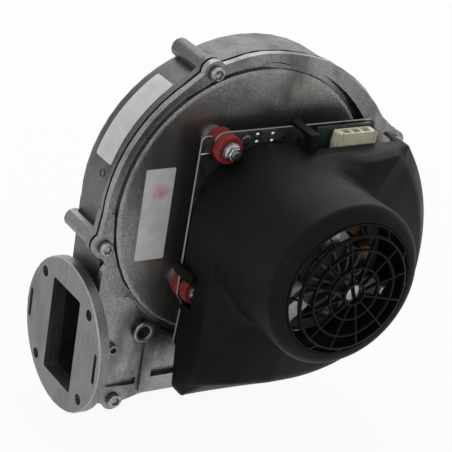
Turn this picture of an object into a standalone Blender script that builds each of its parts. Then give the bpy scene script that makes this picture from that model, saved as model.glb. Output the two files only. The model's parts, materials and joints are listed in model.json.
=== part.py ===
"""Premix gas blower: spiral casing, impeller, rubber-mounted motor, hood, grille and control board.

Sizes are in millimetres and become metres when a mesh is made.
Every piece is drawn in the motor's own frame: u to the right, v up, w along the shaft towards the hood.
The casing's split plane is w = 0. One empty stands that frame up with the shaft level, so that the outlet
flange faces -X and its lower land is the origin.
"""
import math

import bmesh
import bpy
import numpy as np

MM = 0.001

# Clearances
FIT_GAP = 0.3
SEAT_STEP = 0.1
SHAFT_GAP = 0.25

# Impeller
IMPELLER_DIAMETER = 148.0
IMPELLER_DISC = 1.5
IMPELLER_FRONT = -3.0
BLADE_COUNT = 10
BLADE_THICKNESS = 1.4
BLADE_SWEEP = 42.0
BLADE_WIDTH_OUTER = 16.0
BLADE_WIDTH_INNER = 21.5
EYE_RADIUS = 34.0
SHROUD_THICKNESS = 1.2
EYE_LIP = 3.0
HUB_RADIUS = 9.0
HUB_FLANGE = 13.0
HUB_DEPTH = 7.0
NUT_HEIGHT = 5.0

# Spiral channel and casing walls
TONGUE_GAP = 7.0
SPIRAL_GROWTH = 30.5
SPIRAL_START = 112.0
SPIRAL_END = -90.0
CASING_WALL = 3.2
PAN_CORNER = 4.2
PAN_FLOOR_WALL = 4.2
SEAM_GAP = 1.6
SEAL_THICKNESS = 1.0
RIM_WIDTH = 4.0
RIM_NARROWING = 2.6
RIM_THICKNESS = 4.2
RIM_STEP = 0.9

# Outlet duct and flange
OUTLET_HEIGHT = 58.5
OUTLET_WIDTH = 32.5
FLANGE_STANDOFF = 14.0
FLANGE_DIAMETER = 90.0
FLANGE_THICKNESS = 6.5
FLANGE_HOLE_PITCH = 54.0
FLANGE_HOLE = 6.6
FLANGE_SLOT_LENGTH = 19.0
FLANGE_SLOT_WIDTH = 3.0
FLANGE_SLOT_RADIUS = 40.0
DUCT_LAP = 2.4
DUCT_SLOPE = 3.0
DUCT_SLOPE_LENGTH = 27.2

# Intake on the back
INTAKE_RADIUS = 29.5
INTAKE_LIP = 2.6
INTAKE_RING_RADIUS = 47.0
INTAKE_RING_HEIGHT = 5.0
INTAKE_HOLE_RADIUS = 39.0
INTAKE_HOLE = 4.3
INTAKE_HOLE_DEPTH = 6.5

# Platform on the motor-side half
PLATFORM_MARGIN = 1.2
PLATFORM_TOP = 6.5
PLATFORM_EDGE = 3.2
FRONT_WALL = 5.5
ROOF_WALL = 3.6
GROOVE_FLOOR = 3.0
GROOVE_WIDTH = 2.4
ROOF_RISE = 6.5
SHAFT_HOLE_RADIUS = 12.0

# Casing screws: angle round the shaft in degrees and distance outside the wall, and one in the lug below the
# duct, by its distances from the face of the flange and below the channel
RIM_SCREWS = ((111.8, 3.2), (191.5, 4.1), (16.2, 5.3), (-22.0, 4.0), (-58.0, 4.0))
DUCT_SCREW = (27.0, 6.2)
SCREW_SHANK = 2.2
SCREW_HOLE = 2.6
SCREW_HEAD = 4.2
SCREW_HEAD_HEIGHT = 3.2
SCREW_LENGTH = 15.0
LOBE_RADIUS = 7.0
LOBE_SPAN = 13.0
LUG_REACH = 22.0
BOSS_RADIUS = 5.6

# Motor plate and its rubber mounts
PLATE_HEIGHT = 12.5
PLATE_THICKNESS = 1.5
PLATE_LEFT = -45.4
PLATE_LEAN = 0.9
PLATE_WAIST = 4.0
PLATE_RIGHT = 70.0
PLATE_TOP = 52.7
PLATE_BOTTOM = -78.0
PLATE_EAR = 6.7
TAB_TOP = 51.3
GROMMETS = ((-29.6, 44.6), (-37.2, -40.6), (56.0, -4.0))
GROMMET_RADIUS = 8.3
GROMMET_BACK_RADIUS = 8.0
GROMMET_NECK = 5.2
GROMMET_LIP = 6.2
GROMMET_BOSS = 6.0
SLEEVE_OUTER = 3.4
SLEEVE_INNER = 2.6
WASHER_RADIUS = 5.4
WASHER_THICKNESS = 1.1
MOUNT_NUT_HEIGHT = 3.8

# Motor
SHAFT_RADIUS = 4.0
SHAFT_BACK = -17.0
SHAFT_FRONT = 109.0
BEARING_OUTER = 11.0
BEARING_WIDTH = 7.0
STATOR_RADIUS = 41.0
STATOR_BORE = 23.5
STATOR_SLOT = 34.5
STATOR_TEETH = 6
TOOTH_WIDTH = 12.0
STACK_BACK = 44.0
STACK_LENGTH = 36.0
AIR_GAP = 0.7
COIL_DEPTH = 7.6
COIL_SIDE = 4.2
COIL_OVERHANG = 6.5
FLANGE_DISC_RADIUS = 33.0
HOUSING_WALL = 3.6
LEG_WIDTH = 9.0
BOLT_RADIUS = 1.8
BOLT_CIRCLE = 38.0
BOLT_ANGLES = (100.0, 220.0, 340.0)
FAN_RADIUS = 20.0
FAN_FINS = 13
FAN_FIN_HEIGHT = 7.0

# Hood and grille
HOOD_RIM = 106.0
HOOD_RIM_RADIUS = 47.0
HOOD_CAN = 44.5
HOOD_BOTTOM = 101.0
HOOD_ROUND_FROM = 60.0
HOOD_RIGHT = 108.0
HOOD_FULLNESS = 2.5
HOOD_LOWER_ROUND_FROM = 14.0
HOOD_WALL = 2.2
HOOD_FILLET = 7.0
# Lower body of the hood by angle: height of the side wall, height and inset of the rounded edge,
# and height at which the front face runs into the can
HOOD_STATIONS = ((0, 40, 54, 13.0, 68), (20, 40, 52, 12.0, 66), (30, 39, 46, 6.0, 64),
                 (45, 54, 57.5, 2.0, 64),
                 (58, 42, 46, 1.5, 56), (75, 46, 49, 1.0, 54), (90, 47, 50, 0.8, 54),
                 (180, 47, 50, 0.8, 54),
                 (207, 46, 49, 1.5, 55), (240, 49, 52, 1.5, 58.5), (246, 38, 46, 8.0, 60),
                 (256, 38, 52, 10.0, 64),
                 (270, 38, 60, 13.0, 68), (300, 39, 60, 14.0, 70), (330, 40, 57, 14.0, 70),
                 (360, 40, 54, 13.0, 68))
OPENING_RADIUS = 38.5
OPENING_RISE = 5.0
HOOD_TOP_EDGE = 34.0
GRILLE_RINGS = (6.2, 15.1, 25.1, 33.0)
GRILLE_BAR = 1.2
GRILLE_DEPTH = 2.4
GRILLE_STEP = 5.0
GRILLE_CROWN = 1.5
GRILLE_SPOKES = 12
HOOK_THICKNESS = 1.9
TOP_HOOK_WIDTH = 7.6
SIDE_HOOK_WIDTH = 6.0
TOP_HOOK = 17.6
SIDE_HOOK = -28.0

# Control board
BOARD_LEFT = 27.0
BOARD_RIGHT = 68.0
BOARD_TOP = 53.0
BOARD_BOTTOM = 10.0
BOARD_THICKNESS = 1.6
BOARD_HEIGHT = 3.5
CONNECTOR_LEFT = 37.5
CONNECTOR_WIDTH = 25.0
CONNECTOR_TOP = 51.4
CONNECTOR_HEIGHT = 14.0
CONNECTOR_DEPTH = 7.6
CONNECTOR_POLES = 3
CONNECTOR_PITCH = 6.55
CONNECTOR_POCKET = (4.6, 4.6, 9.0)
CAPACITOR = (57.0, 24.0, 8.0, 18.0)
STANDOFFS = ((35.0, 44.0), (63.0, 33.0), (46.0, 18.0))
STANDOFF_RADIUS = 2.6

# Derived places
SEAM_HALF = SEAM_GAP / 2
CHANNEL_START = IMPELLER_DIAMETER / 2 + TONGUE_GAP
CHANNEL_END = CHANNEL_START + SPIRAL_GROWTH
PLATFORM_RADIUS = CHANNEL_START + PLATFORM_MARGIN
FLANGE_REACH = CHANNEL_START + FLANGE_STANDOFF
DUCT_TOP = OUTLET_HEIGHT - CHANNEL_END
OUTLET_DROP = CHANNEL_END - OUTLET_HEIGHT / 2
OUTLET_CENTRE_W = SEAM_HALF - OUTLET_WIDTH / 2
PAN_FLOOR = SEAM_HALF - OUTLET_WIDTH
PAN_BACK = PAN_FLOOR - PAN_FLOOR_WALL
FLANGE_BACK = FLANGE_THICKNESS - FLANGE_REACH
FLANGE_LAND = (OUTLET_HEIGHT + FLANGE_DIAMETER) / 4
RIM_OFFSET = CASING_WALL + RIM_WIDTH
RIM_TOP = SEAM_HALF + RIM_THICKNESS
DUCT_WALL_TOP = PLATFORM_TOP - 0.4
PLATE_BACK = PLATFORM_TOP + PLATE_HEIGHT
PLATE_FRONT = PLATE_BACK + PLATE_THICKNESS
HOOD_BACK = PLATE_FRONT + 2 * FIT_GAP
GROMMET_BACK = PLATE_BACK - GROMMET_LIP
GROMMET_FRONT = PLATE_FRONT + GROMMET_LIP
STACK_FRONT = STACK_BACK + STACK_LENGTH
PLATE_BEARING_BACK = PLATE_FRONT + 2.2
FRONT_BEARING_BACK = STACK_FRONT + 8.0
BOARD_BACK = PLATE_FRONT + BOARD_HEIGHT
BOARD_FRONT = BOARD_BACK + BOARD_THICKNESS
OPENING_FRONT = HOOD_RIM + OPENING_RISE

ROUND = 32
SMALL_ROUND = 18
TINY_ROUND = 12
HOLE_ROUND = 8


# Mesh building
def material(name, colour, roughness, metallic=0.0):
    made = bpy.data.materials.new(name)
    made.use_nodes = True
    shader = made.node_tree.nodes["Principled BSDF"]
    shader.inputs["Base Color"].default_value = (*colour, 1.0)
    shader.inputs["Roughness"].default_value = roughness
    shader.inputs["Metallic"].default_value = metallic
    return made


def solid(name, points, faces):
    """Closed mesh object from points in millimetres, with its faces turned outwards."""
    mesh = bpy.data.meshes.new(name)
    mesh.from_pydata((np.asarray(points, float) * MM).tolist(), [], faces)
    bm = bmesh.new()
    bm.from_mesh(mesh)
    bmesh.ops.recalc_face_normals(bm, faces=bm.faces)
    if bm.calc_volume(signed=True) < 0:
        bmesh.ops.reverse_faces(bm, faces=bm.faces)
    bm.to_mesh(mesh)
    bm.free()
    made = bpy.data.objects.new(name, mesh)
    bpy.context.scene.collection.objects.link(made)
    return made


def loft(name, loops, ring=False):
    """Skin closed loops of equal count in order. A ring joins last to first, else both ends are capped."""
    count = len(loops[0])
    faces = []
    for k in range(len(loops) if ring else len(loops) - 1):
        here = k * count
        there = (k + 1) % len(loops) * count
        for i in range(count):
            j = (i + 1) % count
            faces.append((here + i, here + j, there + j, there + i))
    if not ring:
        faces.append(tuple(reversed(range(count))))
        faces.append(tuple(range((len(loops) - 1) * count, len(loops) * count)))
    return solid(name, np.concatenate(loops), faces)


def at_height(outline, w):
    outline = np.asarray(outline, float)
    return np.column_stack([outline, np.full(len(outline), w)])


def prism(name, outline, low, high):
    return loft(name, [at_height(outline, low), at_height(outline, high)])


def circle(radius, count=ROUND, centre=(0.0, 0.0), corner=0.0):
    angle = corner + np.arange(count) * 2 * math.pi / count
    return np.column_stack([centre[0] + radius * np.cos(angle), centre[1] + radius * np.sin(angle)])


def rod(name, steps, centre=(0.0, 0.0), count=SMALL_ROUND):
    """Solid round bar along w from (radius, w) steps."""
    return loft(name, [at_height(circle(radius, count, centre), w) for radius, w in steps])


def hexagon(across, centre=(0.0, 0.0)):
    """Hexagon with a point in the middle of each side, so that it lofts to a circle of twelve points."""
    outline = circle(across, TINY_ROUND, centre)
    for k in range(1, TINY_ROUND, 2):
        outline[k] = (outline[k - 1] + outline[(k + 1) % TINY_ROUND]) / 2
    return outline


def turned(name, profile, centre=(0.0, 0.0), count=ROUND):
    """Hollow turned part: a closed (radius, w) profile that stays off the axis, turned about w."""
    loops = []
    for angle in np.arange(count) * 2 * math.pi / count:
        loops.append([(centre[0] + r * math.cos(angle), centre[1] + r * math.sin(angle), w) for r,
                      w in profile])
    return loft(name, loops, ring=True)


def box(name, u, v, w):
    return prism(name, [(u[0], v[0]), (u[1], v[0]), (u[1], v[1]), (u[0], v[1])], *w)


def radial_plate(name, profile, width, angle):
    """Plate of even width along a radius, from a closed (radius, w) profile, at an angle in degrees."""
    along = np.array([math.cos(math.radians(angle)), math.sin(math.radians(angle))])
    across = np.array([-along[1], along[0]]) * width / 2
    return loft(name, [[(*(r * along + side * across), w) for r, w in profile] for side in (-1, 1)])


def rounded(corners, steps=4):
    """Outline through (u, v, radius) corners, with each corner turned by an arc."""
    points = []
    for k, (u, v, radius) in enumerate(corners):
        here = np.array([u, v])
        back = np.array(corners[k - 1][:2]) - here
        ahead = np.array(corners[(k + 1) % len(corners)][:2]) - here
        back = back / np.linalg.norm(back)
        ahead = ahead / np.linalg.norm(ahead)
        if radius == 0:
            points.append(here)
            continue
        half = math.acos(np.clip(back @ ahead, -1, 1)) / 2
        reach = radius / math.tan(half)
        middle = here + (back + ahead) / np.linalg.norm(back + ahead) * radius / math.sin(half)
        start = here + back * reach - middle
        turn = math.pi - 2 * half
        side = math.copysign(1.0, back[1] * ahead[0] - back[0] * ahead[1])
        for step in range(steps + 1):
            a = side * turn * step / steps
            c, s = math.cos(a), math.sin(a)
            points.append(middle + (start[0] * c - start[1] * s, start[0] * s + start[1] * c))
    return np.array(points)


def combine(target, operation, tools):
    """Union with, or cut by, each tool in turn, then drop the tools."""
    for tool in tools:
        step = target.modifiers.new(operation, "BOOLEAN")
        step.operation = operation
        step.solver = "EXACT"
        step.object = tool
    bpy.context.view_layer.update()
    evaluated = target.evaluated_get(bpy.context.evaluated_depsgraph_get())
    mesh = bpy.data.meshes.new_from_object(evaluated)
    target.modifiers.clear()
    target.data = mesh
    for tool in tools:
        bpy.data.objects.remove(tool)
    return target


def join(target, *tools):
    return combine(target, "UNION", tools)


def cut(target, *tools):
    return combine(target, "DIFFERENCE", tools)


def finish(piece, surface, parent, crease=35.0):
    piece.data.materials.clear()
    piece.data.materials.append(surface)
    piece.data.shade_smooth()
    piece.data.set_sharp_from_angle(angle=math.radians(crease))
    piece.parent = parent
    return piece


# Spiral outline shared by both casing halves and the seal
def ease(value, start, end):
    """Smooth step from 0 at start to 1 at end."""
    t = np.clip((np.asarray(value, float) - start) / (end - start), 0.0, 1.0)
    return t * t * (3 - 2 * t)


def channel_radius(angle):
    """Inner radius of the channel: even at first, then growing steadily clockwise to the outlet."""
    turn = (SPIRAL_START - np.asarray(angle, float)) / (SPIRAL_START - SPIRAL_END)
    return CHANNEL_START + SPIRAL_GROWTH * np.clip(turn, 0.0, 1.0)


def narrowing(angle):
    """How much of the rim's width is missing: the rim is narrow down the right side."""
    return RIM_NARROWING * ease(-np.asarray(angle, float), -100.0, -75.0)


def channel_path(offset, left, lap=None, rim=0.0, count=46):
    """Open path round the channel, grown by offset: duct floor, spiral, duct's upper wall grown by lap.

    With rim at 1 the path follows the rim where it narrows.
    """
    lap = offset if lap is None else lap
    end = 180.0 + math.degrees(math.asin(-(DUCT_TOP + lap) / (CHANNEL_START + offset)))
    angle = np.linspace(SPIRAL_END, end, count)
    radius = channel_radius(angle) + offset - rim * narrowing(angle)
    spiral = np.column_stack([radius * np.cos(np.radians(angle)), radius * np.sin(np.radians(angle))])
    floor = (left, -radius[0])
    roof = (left, DUCT_TOP + lap)
    return np.vstack([floor, spiral, roof])


def on_spiral(angle, offset):
    radius = float(channel_radius(angle)) + offset
    return radius * math.cos(math.radians(angle)), radius * math.sin(math.radians(angle))


def screw_places():
    """Casing screw centres: just outside the channel wall, and one in the lug below the duct."""
    lug = (DUCT_SCREW[0] - FLANGE_REACH, -CHANNEL_END - DUCT_SCREW[1])
    return [on_spiral(angle, CASING_WALL + out) for angle, out in RIM_SCREWS] + [lug]


def lobe_outline(number):
    """Ear of the rim round one casing screw: a round nose and two flanks that run out into the rim."""
    u, v = screw_places()[number]
    if number < len(RIM_SCREWS):
        facing = RIM_SCREWS[number][0]
        ends = (facing - LOBE_SPAN, facing + LOBE_SPAN)
        reach = [on_spiral(end, RIM_OFFSET - SEAT_STEP - float(narrowing(end))) for end in ends]
        root = [on_spiral(end, CASING_WALL - 1.0) for end in (ends[1], facing, ends[0])]
    else:
        facing = -90.0
        foot = RIM_NARROWING + SEAT_STEP - CHANNEL_END - RIM_OFFSET
        left = max(u - LUG_REACH, FLANGE_BACK + 4 * SEAT_STEP)
        reach = [(left, foot), (u + LUG_REACH, foot)]
        root = [(u + LUG_REACH, foot + 3.0), (left, foot + 3.0)]
    turn = np.radians(facing + np.linspace(-72.0, 72.0, 9))
    nose = np.column_stack([u + LOBE_RADIUS * np.cos(turn), v + LOBE_RADIUS * np.sin(turn)])
    return np.vstack([reach[0], nose, reach[1], root])


def slot_outline(centre, length, width, count=6):
    """Upright slot with round ends."""
    radius = width / 2
    reach = length / 2 - radius
    upper = np.linspace(0, math.pi, count)
    lower = np.linspace(math.pi, 2 * math.pi, count)
    top = np.column_stack([radius * np.cos(upper), reach + radius * np.sin(upper)])
    bottom = np.column_stack([radius * np.cos(lower), -reach + radius * np.sin(lower)])
    return np.vstack([top, bottom]) + np.asarray(centre)


def across_flange(outline, near, far):
    """Loops of a tool through the outlet flange. The outline is (w, v) from the outlet's centre."""
    loops = []
    for u in (near, far):
        loops.append([(u, v - OUTLET_DROP, w + OUTLET_CENTRE_W) for w, v in outline])
    return loops


# Casing
def build_rear_casing(surface, parent):
    """Deep pan with the spiral wall, duct, round outlet flange, screw bosses and intake ring."""
    corner = PAN_CORNER
    steps = [(0.0, -SEAM_HALF - 1.0), (0.0, PAN_BACK + corner), (-0.3 * corner, PAN_BACK + 0.3 * corner),
             (-corner, PAN_BACK)]
    pan = loft("rear_casing", [at_height(channel_path(CASING_WALL + inset, FLANGE_BACK - 1.0), w)
                               for inset, w in steps])
    step = -SEAM_HALF - 0.45 * RIM_THICKNESS
    rim = prism("rim", channel_path(RIM_OFFSET, FLANGE_BACK - 1.0, CASING_WALL - SEAT_STEP, 1.0), step,
                -SEAM_HALF)
    ledge = prism("ledge",
                  channel_path(RIM_OFFSET - RIM_STEP, FLANGE_BACK - 1.0, CASING_WALL - 2 * SEAT_STEP,
                               1.0),
                  -SEAM_HALF - RIM_THICKNESS, step + 0.5)
    side = SEAT_STEP - CHANNEL_START - CASING_WALL
    web = prism("web",
                [(side, -4.0), (side, DUCT_TOP + 2.0), (side + 18.0, DUCT_TOP + 2.0),
                 (side + 9.0, -25.0)],
                PAN_BACK + 3.0, -SEAM_HALF - 1.5)
    flange_steps = [(FLANGE_DIAMETER / 2 - 0.8, -FLANGE_REACH),
                    (FLANGE_DIAMETER / 2, -FLANGE_REACH + 0.8),
                    (FLANGE_DIAMETER / 2, FLANGE_BACK)]
    flange = loft("flange", [across_flange(circle(r, 36), u, u)[0] for r, u in flange_steps])
    ring = rod("intake_ring", [(INTAKE_RING_RADIUS, PAN_BACK - INTAKE_RING_HEIGHT),
                               (INTAKE_RING_RADIUS, PAN_BACK + 1.0)], count=ROUND)
    extras = [rim, ledge, web, flange, ring]
    for number, place in enumerate(screw_places()):
        extras.append(prism("lobe", lobe_outline(number), -RIM_TOP + SEAT_STEP, -SEAM_HALF - SEAT_STEP))
        extras.append(rod("boss", [(BOSS_RADIUS - 0.8, PAN_BACK + 0.6), (BOSS_RADIUS, PAN_BACK + 1.7),
                                   (BOSS_RADIUS, -SEAM_HALF - 1.0)], place, TINY_ROUND))
    join(pan, *extras)

    inner = corner - CASING_WALL
    cavity_steps = [(0.0, SEAM_HALF), (0.0, PAN_FLOOR + inner), (-0.3 * inner, PAN_FLOOR + 0.3 * inner),
                    (-inner, PAN_FLOOR)]
    cavity = loft("cavity", [at_height(channel_path(inset, FLANGE_BACK), w) for inset, w in cavity_steps])
    half_w, half_v = OUTLET_WIDTH / 2, OUTLET_HEIGHT / 2
    opening = rounded([(-half_w, -half_v, 2), (half_w, -half_v, 2), (half_w, half_v, 2),
                       (-half_w, half_v, 2)])
    mouth = loft("mouth", across_flange(opening, -FLANGE_REACH - 1.0, FLANGE_BACK + 4.0))
    cut(pan, cavity, mouth)
    lip = turned("nozzle",
                 [(INTAKE_RADIUS, PAN_FLOOR - 1.0), (INTAKE_RADIUS + INTAKE_LIP, PAN_FLOOR - 1.0),
                            (INTAKE_RADIUS + INTAKE_LIP, PAN_FLOOR + EYE_LIP),
                  (INTAKE_RADIUS, PAN_FLOOR + EYE_LIP)])
    join(pan, lip)

    intake_face = PAN_BACK - INTAKE_RING_HEIGHT
    tools = [rod("intake", [(INTAKE_RADIUS, intake_face - 1.0), (INTAKE_RADIUS, PAN_FLOOR + 1.0)],
                 count=ROUND)]
    for angle in (45, 135, 225, 315):
        a = math.radians(angle)
        place = (INTAKE_HOLE_RADIUS * math.cos(a), INTAKE_HOLE_RADIUS * math.sin(a))
        tools.append(rod("intake_hole", [(INTAKE_HOLE / 2, intake_face - 1.0),
                                         (INTAKE_HOLE / 2, intake_face + INTAKE_HOLE_DEPTH)], place,
                         HOLE_ROUND))
    for place in screw_places():
        tools.append(rod("thread", [(SCREW_HOLE, RIM_TOP - SCREW_LENGTH - 1.0), (SCREW_HOLE, 1.0)], place,
                         HOLE_ROUND))
    pitch = FLANGE_HOLE_PITCH / 2
    outlines = [circle(FLANGE_HOLE / 2, TINY_ROUND, (a * pitch, b * pitch)) for a in (-1, 1)
                for b in (-1, 1)]
    for side in (-1, 1):
        outlines.append(slot_outline((side * FLANGE_SLOT_RADIUS, 0.0), FLANGE_SLOT_LENGTH,
                                     FLANGE_SLOT_WIDTH))
    tools += [loft("hole", across_flange(outline, -FLANGE_REACH - 1.0, FLANGE_BACK + 1.0))
              for outline in outlines]
    cut(pan, *tools)
    return finish(pan, surface, parent)


def roof_height(angle):
    """Height of the channel roof: level with the rim at the left, rising clockwise, level at the duct."""
    rise = ease(-angle, -78.0, -18.0) * ease(angle, -100.0, -70.0)
    return RIM_TOP + ROOF_RISE * rise


def groove_height(angle):
    """Floor of the groove round the platform, filled where platform and roof run into each other."""
    merge = ease(angle, 48.0, 62.0) * ease(-angle, -92.0, -76.0) + ease(angle, 222.0, 234.0)
    return GROOVE_FLOOR + (DUCT_WALL_TOP - GROOVE_FLOOR) * np.clip(merge, 0.0, 1.0)


def front_section(angle):
    """Section of the motor-side half at one angle, as (radius, w) from the shaft hole outwards and back."""
    wall = float(channel_radius(angle)) + CASING_WALL
    rim = wall + RIM_WIDTH - float(narrowing(angle))
    roof, groove = float(roof_height(angle)), float(groove_height(angle))
    edge, top, low = PLATFORM_EDGE, PLATFORM_TOP, PLATFORM_TOP - FRONT_WALL
    bank = PLATFORM_RADIUS + GROOVE_WIDTH
    under = max(low, roof - ROOF_WALL)
    channel = wall - CASING_WALL
    brow = max(wall + 0.8, bank + 2.4)
    lip = max(rim, bank + 3.6)
    return [(SHAFT_HOLE_RADIUS, top), (PLATFORM_RADIUS - edge, top),
            (PLATFORM_RADIUS - 0.2 * edge, top - 0.3 * edge),
            (PLATFORM_RADIUS + 0.1, groove), (bank, groove), (bank + 0.8, roof), (brow - 1.0, roof),
            (brow, max(roof - 2.5, RIM_TOP)), (brow + 0.2, RIM_TOP), (lip, RIM_TOP), (lip, SEAM_HALF),
            (channel, SEAM_HALF), (channel - 1.0, under), (min(bank + 4.2, channel - 1.5), under),
            (min(bank + 3.0, channel - 2.5), low), (SHAFT_HOLE_RADIUS, low)]


def below_platform(left, right, low, radius):
    """Outline on the duct's front wall: straight sides and foot, its top along the platform's edge."""
    u = np.linspace(right, left, 8)
    return np.vstack([(left, low), (right, low), np.column_stack([u, -np.sqrt(radius ** 2 - u ** 2)])])


def build_front_casing(surface, parent):
    """Motor-side half: platform, groove, rising channel roof, duct front wall, mounts and screw lobes."""
    loops = []
    for angle in np.linspace(SPIRAL_END + 1.0, SPIRAL_END + 361.0, 52, endpoint=False):
        c, s = math.cos(math.radians(angle)), math.sin(math.radians(angle))
        loops.append([(r * c, r * s, w) for r, w in front_section(angle)])
    half = loft("front_casing", loops, ring=True)

    left, inner = FLANGE_BACK + FIT_GAP, PLATFORM_RADIUS + 2.0
    rim = RIM_OFFSET - RIM_NARROWING
    foot, head = -CHANNEL_END - rim, DUCT_TOP + DUCT_LAP
    meet = -180.0 + math.degrees(math.asin(-head / inner))
    arc = np.radians(np.linspace(SPIRAL_END + 8.0, meet, 14))
    curve = np.column_stack([inner * np.cos(arc), inner * np.sin(arc)])
    run_in = [on_spiral(SPIRAL_END + 4.0, rim - 0.5), on_spiral(SPIRAL_END + 8.0, rim - 0.8)]
    duct = prism("duct", np.vstack([(left, foot), (-4.0, foot), run_in, curve, (left, head)]),
                 SEAM_HALF + SEAT_STEP, DUCT_WALL_TOP)
    shelf = (DUCT_WALL_TOP + 0.5 * SEAT_STEP, DUCT_WALL_TOP + 2.0, DUCT_WALL_TOP - DUCT_SLOPE)
    crease = left + DUCT_SLOPE_LENGTH
    slope = loft("slope",
                 [[(crease, v, shelf[0]), (crease, v, shelf[1]), (left - 1.0, v, shelf[1]),
                   (left - 1.0, v, shelf[2])] for v in (foot - 1.0, head + 1.0)])
    cut(duct, slope)
    panel = prism("panel", below_platform(left + 35.0, 4.0, foot + 2.2, PLATFORM_RADIUS + 3.6),
                  DUCT_WALL_TOP - 0.7, DUCT_WALL_TOP + 1.5)
    port = (left + 31.8, head - 22.6)
    web = prism("web", [(left + 1.8, head - 2.0), (left + 26.2, head - 2.0), (left + 13.2, head + 12.6),
                        (left + 8.2, head + 26.6), (left + 2.2, head + 17.6)],
                SEAM_HALF + 3.5 * SEAT_STEP, RIM_TOP - 3 * SEAT_STEP)
    pin = (left + 14.2, head - 32.4)
    extras = [duct, panel, web, rod("port", [(6.6, DUCT_WALL_TOP - 1), (6.4, DUCT_WALL_TOP + 3.4)], port),
              rod("core_pin", [(3.4, DUCT_WALL_TOP - 3), (3.0, DUCT_WALL_TOP + 2.2)], pin, TINY_ROUND)]
    for number in range(len(screw_places())):
        extras.append(prism("lobe", lobe_outline(number), SEAM_HALF + 2.5 * SEAT_STEP,
                            RIM_TOP - SEAT_STEP))
    seat = GROMMET_BACK - FIT_GAP
    for place in GROMMETS:
        extras.append(rod("mount", [(GROMMET_BOSS + 1.0, PLATFORM_TOP - 1), (GROMMET_BOSS, seat - 0.8),
                                    (GROMMET_BOSS - 0.8, seat)], place))
    join(half, *extras)

    tools = [rod("port_hole", [(4.0, DUCT_WALL_TOP - 2.5), (4.0, DUCT_WALL_TOP + 5)], port),
             prism("pocket", below_platform(left + 41.7, left + 74.2, foot + 11.1, PLATFORM_RADIUS + 6.0),
                   DUCT_WALL_TOP - 2.2, DUCT_WALL_TOP + 5),
             rod("pin_hole", [(1.8, DUCT_WALL_TOP - 1), (1.9, DUCT_WALL_TOP + 3)], pin, TINY_ROUND),
             box("gutter", (left + 10.2, left + 32.7), (foot + 7.1, foot + 11.6),
                 (DUCT_WALL_TOP - 2.4, DUCT_WALL_TOP + 5))]
    for place in screw_places():
        tools.append(rod("hole", [(SCREW_HOLE, -1.0), (SCREW_HOLE, RIM_TOP + 1.0)], place, HOLE_ROUND))
        tools.append(rod("seat", [(SCREW_HEAD + 1.2, RIM_TOP - 2 * SEAT_STEP),
                                  (SCREW_HEAD + 1.2, RIM_TOP + ROOF_RISE + 4)], place, 14))
    for place in GROMMETS:
        tools.append(rod("thread", [(SCREW_HOLE, PLATFORM_TOP - 1), (SCREW_HOLE, GROMMET_BACK + 1)],
                         place, HOLE_ROUND))
    cut(half, *tools)
    return finish(half, surface, parent, 30.0)


def build_casing_seal(surface, parent):
    """Flat gasket in the seam, running round the channel from one side of the duct to the other."""
    half = SEAL_THICKNESS / 2
    left = FLANGE_BACK + FIT_GAP
    outer = channel_path(RIM_OFFSET - 0.8, left, DUCT_LAP - 0.6, 1.0)
    inner = channel_path(FIT_GAP, left)
    loops = [[(*a, -half), (*a, half), (*b, half), (*b, -half)] for a, b in zip(outer, inner)]
    seal = loft("casing_seal", loops)
    holes = [rod("hole", [(SCREW_HOLE, -1.0), (SCREW_HOLE, 1.0)], place, HOLE_ROUND)
             for place in screw_places()]
    cut(seal, *holes)
    return finish(seal, surface, parent)


def screw(name, place, seat, length, surface, parent):
    """Cheese-head screw, its head above the seat."""
    top = seat + SCREW_HEAD_HEIGHT
    steps = [(SCREW_SHANK, seat - length), (SCREW_SHANK, seat), (SCREW_HEAD, seat),
             (SCREW_HEAD, top - 0.5),
             (SCREW_HEAD - 0.5, top)]
    return finish(rod(name, steps, place, TINY_ROUND), surface, parent)


# Impeller
def blade_depth(radius):
    """Width of a blade from the back disc to the shroud, straight from eye to tip."""
    tip = IMPELLER_DIAMETER / 2
    share = (radius - EYE_RADIUS) / (tip - EYE_RADIUS)
    return BLADE_WIDTH_INNER + (BLADE_WIDTH_OUTER - BLADE_WIDTH_INNER) * share


def build_impeller(surface, parent):
    """Back disc with backward-curved blades."""
    tip, back = IMPELLER_DIAMETER / 2, IMPELLER_FRONT - IMPELLER_DISC
    wheel = turned("impeller", [(HUB_RADIUS + FIT_GAP, back), (tip, back), (tip, IMPELLER_FRONT),
                                (HUB_RADIUS + FIT_GAP, IMPELLER_FRONT)], count=48)
    radius = np.linspace(EYE_RADIUS + 1.0, tip - 0.6, 6)
    sweep = np.radians(BLADE_SWEEP) * (radius - radius[0]) / (radius[-1] - radius[0])
    blades = []
    for number in range(BLADE_COUNT):
        angle = sweep + 2 * math.pi * number / BLADE_COUNT
        line = np.column_stack([radius * np.cos(angle), radius * np.sin(angle)])
        along = np.gradient(line, axis=0)
        side = np.column_stack([-along[:, 1], along[:, 0]]) / np.linalg.norm(along, axis=1)[:, None]
        low = back - blade_depth(radius)
        loops = []
        for point, normal, foot in zip(line, side * BLADE_THICKNESS / 2, low):
            loops.append([(*(point - normal), foot), (*(point + normal), foot),
                          (*(point + normal), back + 0.5), (*(point - normal), back + 0.5)])
        blades.append(loft("blade", loops))
    join(wheel, *blades)
    return finish(wheel, surface, parent)


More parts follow.
